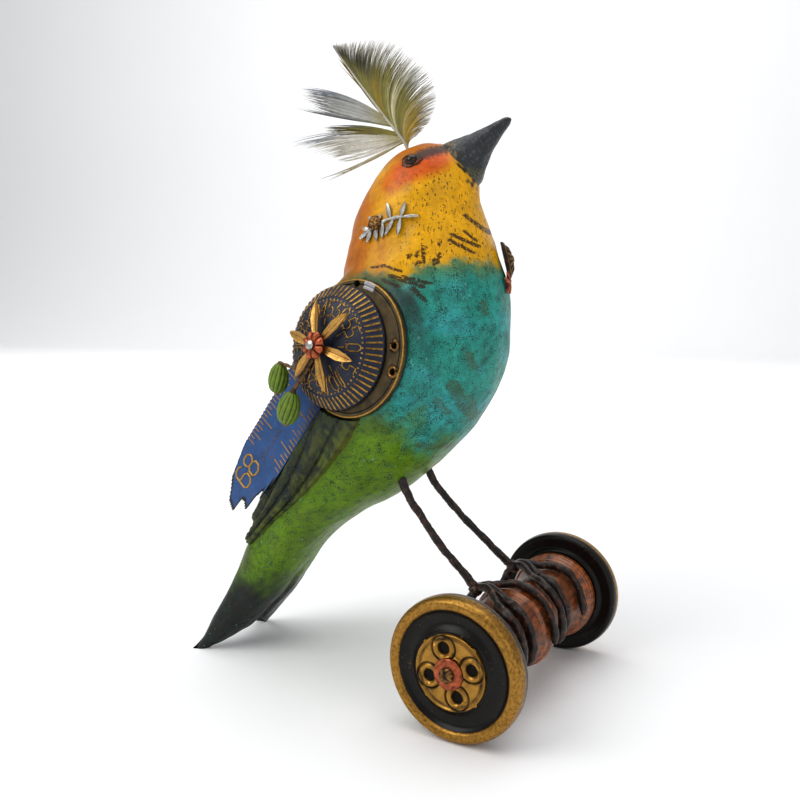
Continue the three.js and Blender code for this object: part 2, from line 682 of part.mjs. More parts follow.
function wheelDisc(side) {
  const disc = new THREE.Shape().absarc(0, 0, discDiameter / 2, 0, 2 * Math.PI);
  disc.holes.push(new THREE.Path().absarc(0, 0, nailBore / 2, 0, 2 * Math.PI, true));
  for (let i = 0; i < 4; i += 1) {
    const [angle, d] = [Math.PI * i / 2 + rad(22), discHoleRadius];
    const hole = new THREE.Path();
    hole.absarc(d * Math.cos(angle), d * Math.sin(angle), discHoleDiameter / 2, 0, 2 * Math.PI, true);
    disc.holes.push(hole);
  }
  const options = { depth: discThickness, bevelEnabled: false, curveSegments: 8 };
  const low = wheelFace + gap;
  return new THREE.ExtrudeGeometry(disc, options).rotateX(rad(-90 * side)).translate(0, side * low, 0);
}

const washerLow = wheelFace + gap + discThickness + gap;
const headLow = washerLow + washerThickness + gap;

function axleRing(side, diameter, low, high, bore, segments = 20) {
  const [r, b] = [diameter / 2, bore / 2];
  const profile = [[b, low], [r, low], [r, high], [b, high], [b, low]];
  return turned(profile.map(([a, y]) => [a, side * y]), segments);
}

function axleNail(side) {
  const [r, s, top] = [nailHeadDiameter / 2, nailDiameter / 2, headLow];
  const profile = [[0, spoolEnd - nailGrip], [s, spoolEnd - nailGrip], [s, top], [r, top],
    [r, top + nailHeadHeight * 0.5], [r * 0.6, top + nailHeadHeight], [0, top + nailHeadHeight]];
  return turned(profile.map(([a, y]) => [a, side * y]), 16);
}

// ---------------------------------------------------------------- legs and feet

const axle = { centre: vec(0, -axleOffset, wheelRadius), turn: rad(-axleYaw) };

const fromSpool = (x, y, z) => vec(x, y, z).applyAxisAngle(vec(0, 0, 1), axle.turn).add(axle.centre);

// The middle of each foot along the spool, evenly about the bird's own middle.
const footAlong = (hand) => axleOffset * Math.cos(axle.turn) - hand * footSpread / 2;
const toeRest = (y) => {
  const span = [-1, -0.5, 0, 0.5, 1].map((t) => spoolRadius(y + t * (toeDiameter / 2 + gap)));
  return Math.max(...span) + gap + toeDiameter / 2;
};
const ankleAngle = 131;          // degrees round the spool from its front
const ankleRadius = midFlangeDiameter / 2 + gap + toeDiameter / 2 + 0.6;
const spurAngles = [ankleAngle, 146, 160, 172];   // the short spur behind the ankle
const knuckleShare = 1.35;       // the knot at the ankle, as a share of the leg's diameter

const roundSpool = (radius, y, degrees) =>
  fromSpool(radius * Math.cos(rad(degrees)), y, radius * Math.sin(rad(degrees)));

function toeLine(y, ankleY, end) {
  const reach = toeRest(y);
  const stop = Array.from({ length: 7 }, (_, i) => 100 + (end - 100) * i / 6);
  return [roundSpool(ankleRadius, ankleY, ankleAngle), roundSpool(Math.max(reach, ankleRadius - 0.6), y, 112),
    ...stop.map((a) => roundSpool(reach, y, a)), roundSpool(reach + 0.5, y, end - 9)];
}

function footSolid(hand) {
  const middle = footAlong(hand);
  const toes = toeEnds.map(([beside, end]) =>
    tube(toeLine(middle + beside, middle, end), toeDiameter, 13, 6));
  const back = spurAngles.map((a, i) =>
    roundSpool(ankleRadius - 0.3 * i, middle + hand * 0.6 * i, a));
  const knuckle = ball(legDiameter * knuckleShare, roundSpool(ankleRadius, middle, ankleAngle).toArray(), 12);
  return joined([...toes, tube(back, toeDiameter, 5, 6), knuckle]);
}

const hipBack = -33.6;           // the hips' place along the bird
const hipHeight = 60.5;

function legLine(hand) {
  const hip = vec(hipBack, -hand * legSpread / 2, hipHeight);
  const out = vec(ankleRadius * Math.cos(rad(ankleAngle)), 0, ankleRadius * Math.sin(rad(ankleAngle)));
  const ankle = fromSpool(out.x, footAlong(hand), out.z);
  const rise = hip.clone().sub(ankle).normalize();
  const low = ankle.clone().addScaledVector(rise, legDiameter * knuckleShare / 2 + gap);
  const bend = hip.clone().lerp(low, 0.4).add(vec(-0.9, 0, -0.9));
  return [hip.clone().add(vec(-2.6, 0, hipGrip)), hip, bend, low];
}

const legSolid = (hand, diameter = legDiameter) => tube(legLine(hand), diameter, 14);

// ---------------------------------------------------------------- assembly

const bird = new THREE.Group();
const sides = [['right', 1], ['left', -1]];

function bodySolid() {
  let wood = bodySkin().subtract(underground()).subtract(tailFork()).subtract(quillBore());
  for (const [, hand] of sides) {
    wood = wood.subtract(solid(ball(eyeDiameter + 2 * gap, eyeCentre(hand))));
    wood = wood.add(seatSolid(hand)).subtract(dialClearance(hand));
    wood = wood.subtract(solid(legSolid(hand, boreFor(legDiameter))));
  }
  return wood;
}

function addHead() {
  bird.add(piece('body', bodySolid(), paint));
  bird.add(piece('beak', beakSolid(), slate));
  bird.add(piece('crest_quill', tube(quillLine, quillDiameter, 10, 6), shaft));
  const bore = quillBore();
  bird.add(piece('crest_fan', solid(upright(fanOutline, vaneThickness)).subtract(bore), feather));
  bird.add(piece('crest_down', solid(upright(downOutline, vaneThickness)).subtract(bore), downy));
}

function addFlank(side, hand) {
  bird.add(piece(`eye_${side}`, ball(eyeDiameter, eyeCentre(hand)), bead));
  bird.add(piece(`wing_${side}`, wingSolid(hand), wingPaint));
  const place = flankPoint(...charmPlace).addScaledVector(flankNormal(...charmPlace), charmThickness);
  const group = facing(mirrored(place, hand), mirrored(flankNormal(...charmPlace), hand));
  group.add(piece(`cheek_branch_${side}`, charmSolid(hand), silver));
  const nail = nailSolid(charmNailDiameter, 1.2, charmNailShank, charmThickness);
  group.add(piece(`cheek_nail_${side}`, nail.translate(0, 0, charmThickness / 2 + gap), bronze));
  bird.add(group);
}

function addDial(side, hand) {
  const group = dialFrame(hand);
  group.add(piece(`tape_strip_${side}`, stripSolid(hand), tapeBlue));
  group.add(piece(`dial_plate_${side}`, plateSolid(hand), agedBrass));
  eyeletPlaces.forEach((at, i) => {
    group.add(piece(`plate_eyelet_${side}_${i + 1}`, eyelet(hand, at), bronze));
  });
  group.add(piece(`dial_${side}`, turnedUp(dialProfile(), 28), navy));
  group.add(piece(`flower_${side}`, flowerSolid(hand), brightBrass));
  group.add(piece(`flower_cap_${side}`, capSolid(), copper));
  group.add(piece(`flower_pin_${side}`, pinSolid(), silver));
  group.add(piece(`pod_stem_${side}`, stemSolid(hand), twig));
  podPlaces.forEach((at, i) => group.add(piece(`pod_${side}_${i + 1}`, podSolid(hand, at), pod)));
  bird.add(group);
}

function addBreast() {
  const button = breastFrame(131, 14, 14, 1.0);
  button.add(piece('breast_button', buttonSolid(), bronze));
  button.add(piece('breast_nail', nailSolid(2.2, 0.9, 1, 1.6).translate(0, 0, buttonHeight + gap), bronze));
  const star = breastFrame(123.8, 2, 4, 0.6);
  star.add(piece('breast_star', starSolid(), copper));
  bird.add(button, star);
}

function addLegs(side, hand) {
  bird.add(piece(`leg_${side}`, legSolid(hand), wire));
  bird.add(piece(`foot_${side}`, footSolid(hand), wire));
}

function addWheels() {
  const group = new THREE.Group();
  group.position.copy(axle.centre);
  group.rotation.z = axle.turn;
  group.add(piece('spool', spoolSolid(), turnedWood));
  for (const [side, hand] of sides) {
    const out = -hand;
    group.add(piece(`wheel_${side}`, wheelSolid(out), wheelPaint));
    group.add(piece(`wheel_disc_${side}`, wheelDisc(out), brightBrass));
    const washer = axleRing(out, washerDiameter, washerLow, washerLow + washerThickness, nailBore);
    group.add(piece(`wheel_washer_${side}`, washer, copper));
    group.add(piece(`axle_nail_${side}`, axleNail(out), bronze));
  }
  bird.add(group);
}

addHead();
for (const [side, hand] of sides) {
  addFlank(side, hand);
  addDial(side, hand);
  addLegs(side, hand);
}
addBreast();
addWheels();

// The origin is on the ground below the middle of the whole bird.
bird.updateMatrixWorld(true);
const extent = new THREE.Box3().setFromObject(bird, true);
const centre = extent.getCenter(vec(0, 0, 0));
const whole = new THREE.Group();
bird.position.set(-centre.x, -centre.y, -extent.min.z);
whole.add(bird);

export default whole;
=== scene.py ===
"""A painted bird on a wheeled spool: its looks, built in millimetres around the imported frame."""

import json

import bmesh
import bpy
import numpy as np
from numpy import cos, pi, sin
from bpy.props import FloatProperty, FloatVectorProperty, IntProperty, PointerProperty
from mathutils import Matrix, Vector


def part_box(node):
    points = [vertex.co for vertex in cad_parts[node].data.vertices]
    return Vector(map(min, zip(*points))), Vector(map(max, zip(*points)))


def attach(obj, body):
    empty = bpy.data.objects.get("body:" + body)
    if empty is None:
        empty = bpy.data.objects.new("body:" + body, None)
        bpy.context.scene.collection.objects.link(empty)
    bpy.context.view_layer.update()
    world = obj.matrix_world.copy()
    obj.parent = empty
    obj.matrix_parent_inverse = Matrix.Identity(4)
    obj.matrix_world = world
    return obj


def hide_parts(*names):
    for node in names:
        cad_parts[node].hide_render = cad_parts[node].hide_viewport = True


bl_info = {
    "name": "Painted bird on a spool",
    "version": (1, 0, 0),
    "blender": (4, 5, 0),
    "location": "3D View > Sidebar > Bird",
    "description": "Builds a painted wooden bird that stands on a wheeled thread spool",
    "category": "Object",
}

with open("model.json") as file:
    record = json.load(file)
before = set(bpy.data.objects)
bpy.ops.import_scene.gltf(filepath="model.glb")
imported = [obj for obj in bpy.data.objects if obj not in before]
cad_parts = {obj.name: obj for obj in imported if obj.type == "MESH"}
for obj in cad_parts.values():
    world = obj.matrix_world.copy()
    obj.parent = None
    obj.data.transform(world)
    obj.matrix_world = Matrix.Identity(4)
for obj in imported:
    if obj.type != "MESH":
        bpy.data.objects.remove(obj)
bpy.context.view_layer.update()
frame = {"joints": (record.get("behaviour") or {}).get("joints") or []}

MM = 0.001
SIDES = (("right", 1), ("left", -1))


# --- places taken from the frame


def node_middle(name):
    """The middle of a CAD node's box, in mm."""
    low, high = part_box(name)
    return (np.array(low) + np.array(high)) / 2 / MM


AXLE_YAW = np.radians(11)
AXLE_OWN = np.array([0.0, -6.7, 20.0])              # the axle's middle in the bird's own frame
HOME = node_middle("spool") - AXLE_OWN              # the bird's own origin in the row frame
ALONG_AXLE = np.array([sin(AXLE_YAW), cos(AXLE_YAW), 0.0])
AXLE_AHEAD = np.array([cos(AXLE_YAW), -sin(AXLE_YAW), 0.0])
UP = np.array([0.0, 0.0, 1.0])
JOINTS = {joint["name"]: joint for joint in frame["joints"]}


def unit(vectors):
    """Vectors brought to length one along the last axis."""
    return vectors / np.maximum(np.linalg.norm(vectors, axis=-1, keepdims=True), 1e-12)


def dial_frame(hand):
    """Foot, forward, up and outward directions of a dial, from its flower's joint 8 mm above the foot."""
    side = "right" if hand > 0 else "left"
    joint = JOINTS[f"flower_{side}_spin"]
    out = unit(np.array(joint["axis"], float))
    foot = np.array(joint["pos_m"], float) / MM - 8 * out - HOME
    across = unit(np.array([-out[1], out[0], 0.0]))
    return foot, hand * across, np.cross(out, across), out


DIAL = {hand: dial_frame(hand) for _, hand in SIDES}


def from_dial(points, hand):
    """Forward, up and out from the dial's foot, as places of the bird."""
    foot, ahead, up, out = DIAL[hand]
    return foot + points[..., :1] * ahead + points[..., 1:2] * up + points[..., 2:] * out


def to_dial(points, hand):
    """The same the other way round."""
    foot, ahead, up, out = DIAL[hand]
    away = points - foot
    return np.stack([away @ ahead, away @ up, away @ out], -1)


def from_axle(along, radius, angle):
    """A point at a distance along the axle, a radius and an angle round it from the front."""
    along, radius, angle = np.broadcast_arrays(along, radius, angle)
    return (AXLE_OWN + along[..., None] * ALONG_AXLE
            + (radius * cos(angle))[..., None] * AXLE_AHEAD
            + (radius * sin(angle))[..., None] * UP)


# --- curves and values


def ease(low, high, value):
    """0 to 1 between low and high, by three squared less two cubed; falls if high is below low."""
    share = np.clip((value - low) / (high - low), 0, 1)
    return share * share * (3 - 2 * share)


def bump(value, width):
    """1 at 0, falling to both sides as e to the minus square of the value over the width."""
    return np.exp(-(value / width) ** 2)


def ripple(points, size, seed):
    """A smooth uneven value of about -1 to 1: the sum of nine sine waves near that length."""
    rng = np.random.default_rng(seed)
    waves = unit(rng.normal(size=(9, 3))) * (2 * pi / size * rng.uniform(0.6, 1.6, 9))[:, None]
    return sin(points @ waves.T + rng.uniform(0, 2 * pi, 9)).sum(-1) / 3


def shares(count):
    """Equal steps from 0 to 1."""
    return np.linspace(0, 1, count)


def turns(count):
    """Angles in equal steps round a full turn, the last one left out."""
    return np.linspace(0, 2 * pi, count, endpoint=False)


def spline(points, share):
    """Centripetal Catmull-Rom curve through the points: cubic pieces with tangents from neighbours."""
    points = np.asarray(points, float)
    padded = np.vstack([2 * points[0] - points[1], points, 2 * points[-1] - points[-2]])
    place = np.clip(share, 0, 1) * (len(points) - 1)
    at = np.minimum(place.astype(int), len(points) - 2)
    f = (place - at)[..., None]
    a, b, c, d = (padded[at + i] for i in range(4))
    root = [np.sqrt(np.linalg.norm(q - p, axis=-1, keepdims=True)) for p, q in ((a, b), (b, c), (c, d))]
    leave = ((b - a) / root[0] - (c - a) / (root[0] + root[1]) + (c - b) / root[1]) * root[1]
    arrive = ((c - b) / root[1] - (d - b) / (root[1] + root[2]) + (d - c) / root[2]) * root[1]
    return b + f * leave + f**2 * (3 * (c - b) - 2 * leave - arrive) + f**3 * (2 * (b - c) + leave + arrive)


def srgb(red, green, blue):
    """A screen colour of 0 to 255 as linear light."""
    value = np.array([red, green, blue]) / 255
    return np.where(value <= 0.04045, value / 12.92, ((value + 0.055) / 1.055) ** 2.4)


def over(base, colour, weight):
    """Colour laid over a base with a weight at each vertex."""
    return base + (np.asarray(colour) - base) * np.asarray(weight)[..., None]


def stroke(points, start, end, width):
    """1 on the line between two points, falling to 0 at that distance from it."""
    start, end = np.array(start, float), np.array(end, float)
    way = end - start
    share = np.clip((points - start) @ way / (way @ way), 0, 1)
    away = np.linalg.norm(points - start - share[..., None] * way, axis=-1)
    return ease(width, width * 0.3, away)


# --- shapes as arrays


def grid(points, wrap=True, **values):
    """Faces over points in rows and columns; leading axes hold copies. Values are one number per point."""
    rows, columns = points.shape[-3:-1]
    index = np.arange(rows * columns).reshape(rows, columns)
    index = np.hstack([index, index[:, :1]]) if wrap else index
    quads = np.stack([index[:-1, :-1], index[:-1, 1:], index[1:, 1:], index[1:, :-1]], -1).reshape(-1, 4)
    copies = int(np.prod(points.shape[:-3]))
    quads = (quads[None] + (np.arange(copies) * rows * columns)[:, None, None]).reshape(-1, 4)
    shape = {"v": points.reshape(-1, 3), "f": quads}
    for name, value in values.items():
        tail = np.shape(value)[-1:] if name == "Paint" else ()
        shape[name] = np.broadcast_to(value, points.shape[:-1] + tail).reshape((-1,) + tail)
    return shape


def together(*shapes):
    """Several shapes as one; a value that a shape lacks is 0."""
    names = [n for s in shapes for n in s if n not in ("v", "f")]
    counts = np.cumsum([0] + [len(s["v"]) for s in shapes])
    whole = {"v": np.vstack([s["v"] for s in shapes])}
    whole["f"] = np.vstack([s["f"] + start for s, start in zip(shapes, counts)])
    for name in dict.fromkeys(names):
        width = next(s[name].shape[1:] for s in shapes if name in s)
        parts = [s.get(name, np.zeros((len(s["v"]),) + width)) for s in shapes]
        whole[name] = np.concatenate(parts)
    return whole


def polar(radius, angle, height):
    """Points round +Z: x and y are radius times cosine and sine."""
    return np.stack(np.broadcast_arrays(radius * cos(angle), radius * sin(angle), height), -1)


def turned(profile, count):
    """Profile rows of radius and height carried round +Z."""
    profile = np.asarray(profile, float)
    return grid(polar(profile[:, :1], turns(count), profile[:, 1:2]))


def rounded(profile, steps):
    """More points on a profile, by a spline through its corners."""
    return spline(profile, shares(steps))


def tube(path, radius, sides, beside, **values):
    """A ring of that radius carried along a path, square to it, both ends closed on the path."""
    path = np.asarray(path, float)
    ahead = unit(np.gradient(path, axis=-2))
    first = unit(np.cross(ahead, np.asarray(beside, float)))
    second = np.cross(ahead, first)
    angle = turns(sides)
    radius = np.asarray(radius, float)
    radius = radius[..., None] if radius.shape == path.shape[:-1] else radius
    reach = np.broadcast_to(radius, path.shape[:-1] + (sides,))[..., None]
    round_it = cos(angle)[:, None] * first[..., None, :] + sin(angle)[:, None] * second[..., None, :]
    rings = path[..., None, :] + reach * round_it
    ends = [np.repeat(path[..., i:i + 1, None, :], sides, axis=-2) for i in (0, path.shape[-2] - 1)]
    points = np.concatenate([ends[0], rings, ends[1]], axis=-3)
    carried = {}
    for name, value in values.items():
        value = np.asarray(value, float)
        along = value if name == "Paint" else value[..., None]
        along = np.concatenate([along.take([0], -2), along, along.take([-1], -2)], -2)
        carried[name] = np.repeat(along[..., None, :], sides, -2) if name == "Paint" else along
    return grid(points, **carried)


def closed(points):
    """Rows of points shut at both ends by a row at the end row's middle."""
    ends = [row.mean(1, keepdims=True).repeat(row.shape[1], 1) for row in (points[:1], points[-1:])]
    return np.concatenate([ends[0], points, ends[1]])


def doubled(values):
    """Rows of values with the first and the last one repeated, for the end rows of a closed shape."""
    return np.concatenate([values[:1], values, values[-1:]])


def layered(base, shape, *coats):
    """A base colour over all points, then each coat's colour laid over it with the coat's weight."""
    paint = np.broadcast_to(base, shape)
    for tint, weight in coats:
        paint = over(paint, tint, weight)
    return paint


def on_dial(shape, hand):
    """A shape of the dial's frame as one of the bird's."""
    shape["v"] = from_dial(shape["v"], hand)
    return shape


def build(name, shape, material, node, side="", body="bird", crisp=40):
    """One mesh object from a shape in the bird's own frame, shown for its CAD node."""
    name, node = (f"{word}_{side}" if side else word for word in (name, node))
    mesh = bpy.data.meshes.new(name)
    vertices = ((shape["v"] + HOME) * MM).astype(np.float32)
    faces = shape["f"].astype(np.int32)
    mesh.vertices.add(len(vertices))
    mesh.vertices.foreach_set("co", vertices.ravel())
    mesh.loops.add(faces.size)
    mesh.loops.foreach_set("vertex_index", faces.ravel())
    mesh.polygons.add(len(faces))
    mesh.polygons.foreach_set("loop_start", np.arange(0, faces.size, 4, dtype=np.int32))
    mesh.update(calc_edges=True)
    for key, value in shape.items():
        if key == "Paint":
            colours = mesh.color_attributes.new(key, "FLOAT_COLOR", "POINT")
            filled = np.hstack([np.clip(value, 0, 1), np.ones((len(value), 1))])
            colours.data.foreach_set("color", filled.astype(np.float32).ravel())
        elif key not in ("v", "f"):
            values = mesh.attributes.new(key, "FLOAT", "POINT")
            values.data.foreach_set("value", np.asarray(value, np.float32))
    work = bmesh.new()
    work.from_mesh(mesh)
    bmesh.ops.remove_doubles(work, verts=work.verts, dist=2e-7)
    bmesh.ops.dissolve_degenerate(work, edges=work.edges, dist=1e-8)
    bmesh.ops.recalc_face_normals(work, faces=work.faces)
    work.to_mesh(mesh)
    work.free()
    mesh.polygons.foreach_set("use_smooth", np.ones(len(mesh.polygons), bool))
    mesh.set_sharp_from_angle(angle=np.radians(crisp))
    piece = bpy.data.objects.new(name, mesh)
    bpy.context.scene.collection.objects.link(piece)
    mesh.materials.append(material)
    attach(piece, body)
    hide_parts(node)


# --- carved body

BODY_WIDTH = 55.0
TAIL_SKEW = 0.2
TAIL_TOP = 42.0
TAIL_WIDTH = 31.4
TIP_WIDTH = 1.8
FORK_DEPTH = 11.0
PLATE_LOW = -2.3
PLATE_SHIFT = 4.6
PLATE_RADIUS = 20.6
STRIP_LOW = -3.1
STRIP_TURN = np.radians(233.1)
STRIP_OFF = 4.8
STRIP_WIDTH = 19.0
STRIP_START = 9.0

# From crown to tail: a point of the back (x, z), a point of the breast (x, z), the half width as a
# share of the widest, and how square the section is.
STATIONS = np.array([
    (-27.0, 167.0, -24.5, 166.2, 0.06, 2), (-33.5, 166.9, -19.5, 163.4, 0.25, 2),
    (-40.0, 164.2, -16.0, 158.8, 0.43, 2), (-45.6, 159.2, -14.8, 154.0, 0.55, 2),
    (-50.0, 152.6, -14.2, 148.8, 0.63, 2), (-53.6, 144.6, -12.0, 142.2, 0.7, 2.05),
    (-56.0, 135.0, -8.9, 134.0, 0.79, 2.1), (-58.0, 124.0, -6.0, 123.6, 0.89, 2.15),
    (-61.0, 112.0, -5.0, 111.0, 0.97, 2.15), (-65.5, 99.5, -6.6, 98.0, 1, 2.15),
    (-71.0, 87.0, -12.2, 85.2, 0.98, 2.15), (-77.0, 74.5, -23.0, 71.8, 0.91, 2.15),
    (-82.6, 62.0, -38.0, 58.4, 0.8, 2.15), (-87.4, 51.0, -55.5, 48.2, 0.69, 2.2),
    (-91.6, 40.5, -67.4, 38.4, 0.61, 2.3), (-95.8, 30.5, -75.6, 28.0, 0.57, 2.4),
    (-99.8, 20.5, -83.6, 17.6, 0.57, 2.5), (-104.0, 10.0, -93.6, 7.0, 0.58, 2.6),
    (-108.6, -2.0, -104.6, -3.2, 0.6, 2.6)])
BACK = STATIONS[:, (0, 4, 1)]
BREAST = STATIONS[:, (2, 5, 3)]


def section(share):
    """Middle, half depth (each x and z), half width and squareness of the body's section at a share."""
    back, breast = spline(BACK, share), spline(BREAST, share)
    middle = (back + breast)[..., (0, 2)] / 2
    reach = (breast - back)[..., (0, 2)] / 2
    return middle, reach, back[..., 1] * BODY_WIDTH / 2, breast[..., 1]


def bowed(value, square):
    """A sine or cosine raised to two over the squareness, sign kept: the superellipse."""
    return np.sign(value) * np.abs(value) ** (2 / square)


def skin(share, angle):
    """The body's surface: a superellipse round each section, angle 0 at the breast and pi at the back."""
    middle, reach, half, square = section(share)
    away = reach * bowed(cos(angle), square)[..., None]
    y = half * bowed(sin(angle), square)
    z = middle[..., 1] + away[..., 1]
    x = middle[..., 0] + away[..., 0] + TAIL_SKEW * y * np.clip((TAIL_TOP - z) / TAIL_TOP, 0, 1)
    return np.stack([x, y, z], -1)


def flank_place(x, z, hand):
    """Share and angle of the flank's point at a given x and z, the share found by halving."""
    low, high = np.zeros(x.shape), np.ones(x.shape)
    for _ in range(24):
        mid = (low + high) / 2
        middle, reach, _, _ = section(mid)
        past = reach[..., 0] * (z - middle[..., 1]) > reach[..., 1] * (x - middle[..., 0])
        low, high = np.where(past, low, mid), np.where(past, mid, high)
    middle, reach, _, square = section(low)
    away = np.stack([x, z], -1) - middle
    along = (away * reach).sum(-1) / (reach * reach).sum(-1)
    along = np.clip(along, -0.992, 0.992)
    return low, -hand * np.arccos(np.sign(along) * np.abs(along) ** (square / 2))


def outward(share, angle):
    """The skin's outward direction, square to its two slopes."""
    step = 1e-3
    down = skin(share + step, angle) - skin(share - step, angle)
    round_it = skin(share, angle + step) - skin(share, angle - step)
    return unit(np.cross(down, round_it))


def on_flank(x, z, hand, height=0.0):
    """A point of the flank lifted off it by a height along the outward direction."""
    share, angle = flank_place(np.asarray(x, float), np.asarray(z, float), hand)
    away = outward(share, angle)
    place = skin(share, angle)
    away = np.where((away[..., 1] * place[..., 1] < 0)[..., None], -away, away)
    return place + away * np.asarray(height)[..., None]


def tape_place(q):
    """Distance along the tape from the pin and across from its front edge, for dial-frame points."""
    along = q[..., 0] * cos(STRIP_TURN) + q[..., 1] * sin(STRIP_TURN)
    across = -q[..., 0] * sin(STRIP_TURN) + q[..., 1] * cos(STRIP_TURN) - STRIP_OFF
    return along, across


def settled(points, seat=True):
    """Wood brought up to the plate's seat round the dial, and kept below plate and tape."""
    for _, hand in SIDES:
        q = to_dial(points, hand)
        rho = np.hypot(q[..., 0] - PLATE_SHIFT, q[..., 1])
        near_side = ease(-16, -11, q[..., 2])
        height = q[..., 2]
        if seat:
            height = height + (PLATE_LOW - 0.2 - height) * ease(26.5, 20.0, rho) * near_side
        over_plate = ease(21.6, 20.8, rho) * near_side
        height = np.where(over_plate > 0.5, np.minimum(height, PLATE_LOW - 0.2), height)
        along, across = tape_place(q)
        outside = np.maximum.reduce([across - 0.2, -across - STRIP_WIDTH - 0.2, along - 66, 8 - along])
        bed = STRIP_LOW - 0.25 + 2.5 * np.maximum(outside, 0)
        height = np.where((near_side > 0.5) & (outside < 3), np.minimum(height, bed), height)
        q = np.stack([q[..., 0], q[..., 1], height], -1)
        points = from_dial(q, hand)
    return points


def tail_end(angle):
    """For each angle the share where the body ends: at the V between the tips or at the last section."""
    share = np.linspace(0.8, 1, 240)[:, None] + 0 * angle
    points = skin(share, angle + 0 * share)
    tip, root = spline(BREAST, np.array([1.0, 0.9]))
    along = unit((tip - root)[[0, 2]])
    root = root[[0, 2]]
    notch = root + along * (root[1] / -along[1]) - along * FORK_DEPTH
    away = points[..., (0, 2)] - notch
    away[..., 0] -= TAIL_SKEW * points[..., 1]
    mouth = TAIL_WIDTH / 2 - TIP_WIDTH
    width = np.abs(points[..., 1])
    past = (away @ along > width * FORK_DEPTH / mouth) & (width < mouth)
    first = np.argmax(past, axis=0)
    return np.where(past.any(0), share[first, 0], 1.0)


def head_paint(p, colours):
    """Orange crown and nape, yellow cheek and throat, a red patch under the eye, black lore."""
    x, z = p[..., 0], p[..., 2]
    noise = ripple(p, 9, 3)
    paint = np.broadcast_to(np.array(colours.throat), p.shape)
    nape = ease(-33, -49, x + 0.22 * (z - 140) + 2 * noise)
    crown = ease(156, 163, z + noise)
    paint = over(paint, colours.crown, np.maximum(nape, crown * ease(-18, -28, x)) * 0.95)
    flank = p[..., (0, 2)]
    red = np.maximum(stroke(flank, (-34, 156.2), (-25, 160), 6.5),
                     0.8 * stroke(flank, (-37, 154), (-31, 157), 6))
    return over(paint, colours.cheek, red * 0.9)


def trunk_paint(p, colours):
    """Teal breast, green belly and root of the tail, black tail, and painted shade in a dark ring round
    each dial.
    """
    x, z = p[..., 0], p[..., 2]
    noise = ripple(p, 14, 5) + 0.5 * ripple(p, 4, 6)
    paint = layered(
        colours.breast, p.shape,
        (srgb(60, 168, 172), ease(-0.2, 1.1, ripple(p, 12, 31)) * 0.6),
        (srgb(34, 92, 88), ease(0.3, 1.2, ripple(p, 6, 32)) * 0.35))
    slope = z - (72 - 0.85 * (x + 22))
    paint = over(paint, colours.belly, ease(14, -12, slope + 4 * noise))
    paint = over(paint, srgb(64, 112, 30), ease(2, -6, np.abs(slope + 5 * noise) - 3) * 0.4)
    paint = over(paint, srgb(104, 134, 16), ease(0.2, 1.0, ripple(p, 8, 33)) * ease(-4, -20, slope) * 0.5)
    # Painted shade: the breast darkened in a ring round each dial's plate, more on its upper side.
    painted_dial_shade = 0
    for _, hand in SIDES:
        q = to_dial(p, hand)
        rho = np.hypot(q[..., 0] - PLATE_SHIFT, q[..., 1])
        weight = 0.35 + 0.65 * ease(-6, 16, q[..., 1])
        painted_dial_shade = np.maximum(painted_dial_shade, ease(27, 20.5, rho + 2 * noise) * ease(-14, -8, q[..., 2]) * weight)
    paint = over(paint, srgb(38, 48, 50), painted_dial_shade * 0.85)
    paint = over(paint, srgb(70, 66, 26), ease(7, 0, np.abs(z - 34) - 2 * noise) * ease(-84, -90, x) * 0.6)
    paint = over(paint, colours.tail, ease(34, 18, z + 0.12 * (x + 90) + 2 * noise))
    return paint


CRACKS = (((-34, 125.8), (-24, 122.4), 0.5), ((-30, 125.4), (-22, 123.4), 0.4),
          ((-36, 124.6), (-31, 122.6), 0.4),
          ((-27, 122), (-23, 118.6), 0.5))
BRUSHED = (((-15.8, 143.8), (-10.6, 139.2), 0.42), ((-14.6, 142.6), (-9.8, 138.4), 0.3),
           ((-18.2, 137.8), (-11.6, 134.6), 0.42), ((-15.3, 139), (-12.2, 136.2), 0.3),
           ((-18.4, 136.2), (-14, 133.6), 0.42), ((-17.6, 135.4), (-12.4, 132.6), 0.3))
DABS = ((-25.2, 133.1), (-21, 134.9), (-26.7, 131.4), (-29, 130.9), (-24.8, 129.6), (-21.8, 129.2),
        (-20.9, 129.4), (-20.6, 131.1), (-24.9, 131.2), (-26.4, 128.6))
WORN = (((-16.2, 94), (-14, 89), 2.4), ((-14.4, 87), (-12.6, 82), 2.0), ((-20.5, 90), (-18.6, 86), 1.6),
        ((-12, 103), (-11, 99), 1.5), ((-27, 76), (-22, 74), 1.6), ((-9, 118), (-8.4, 115), 1.2))


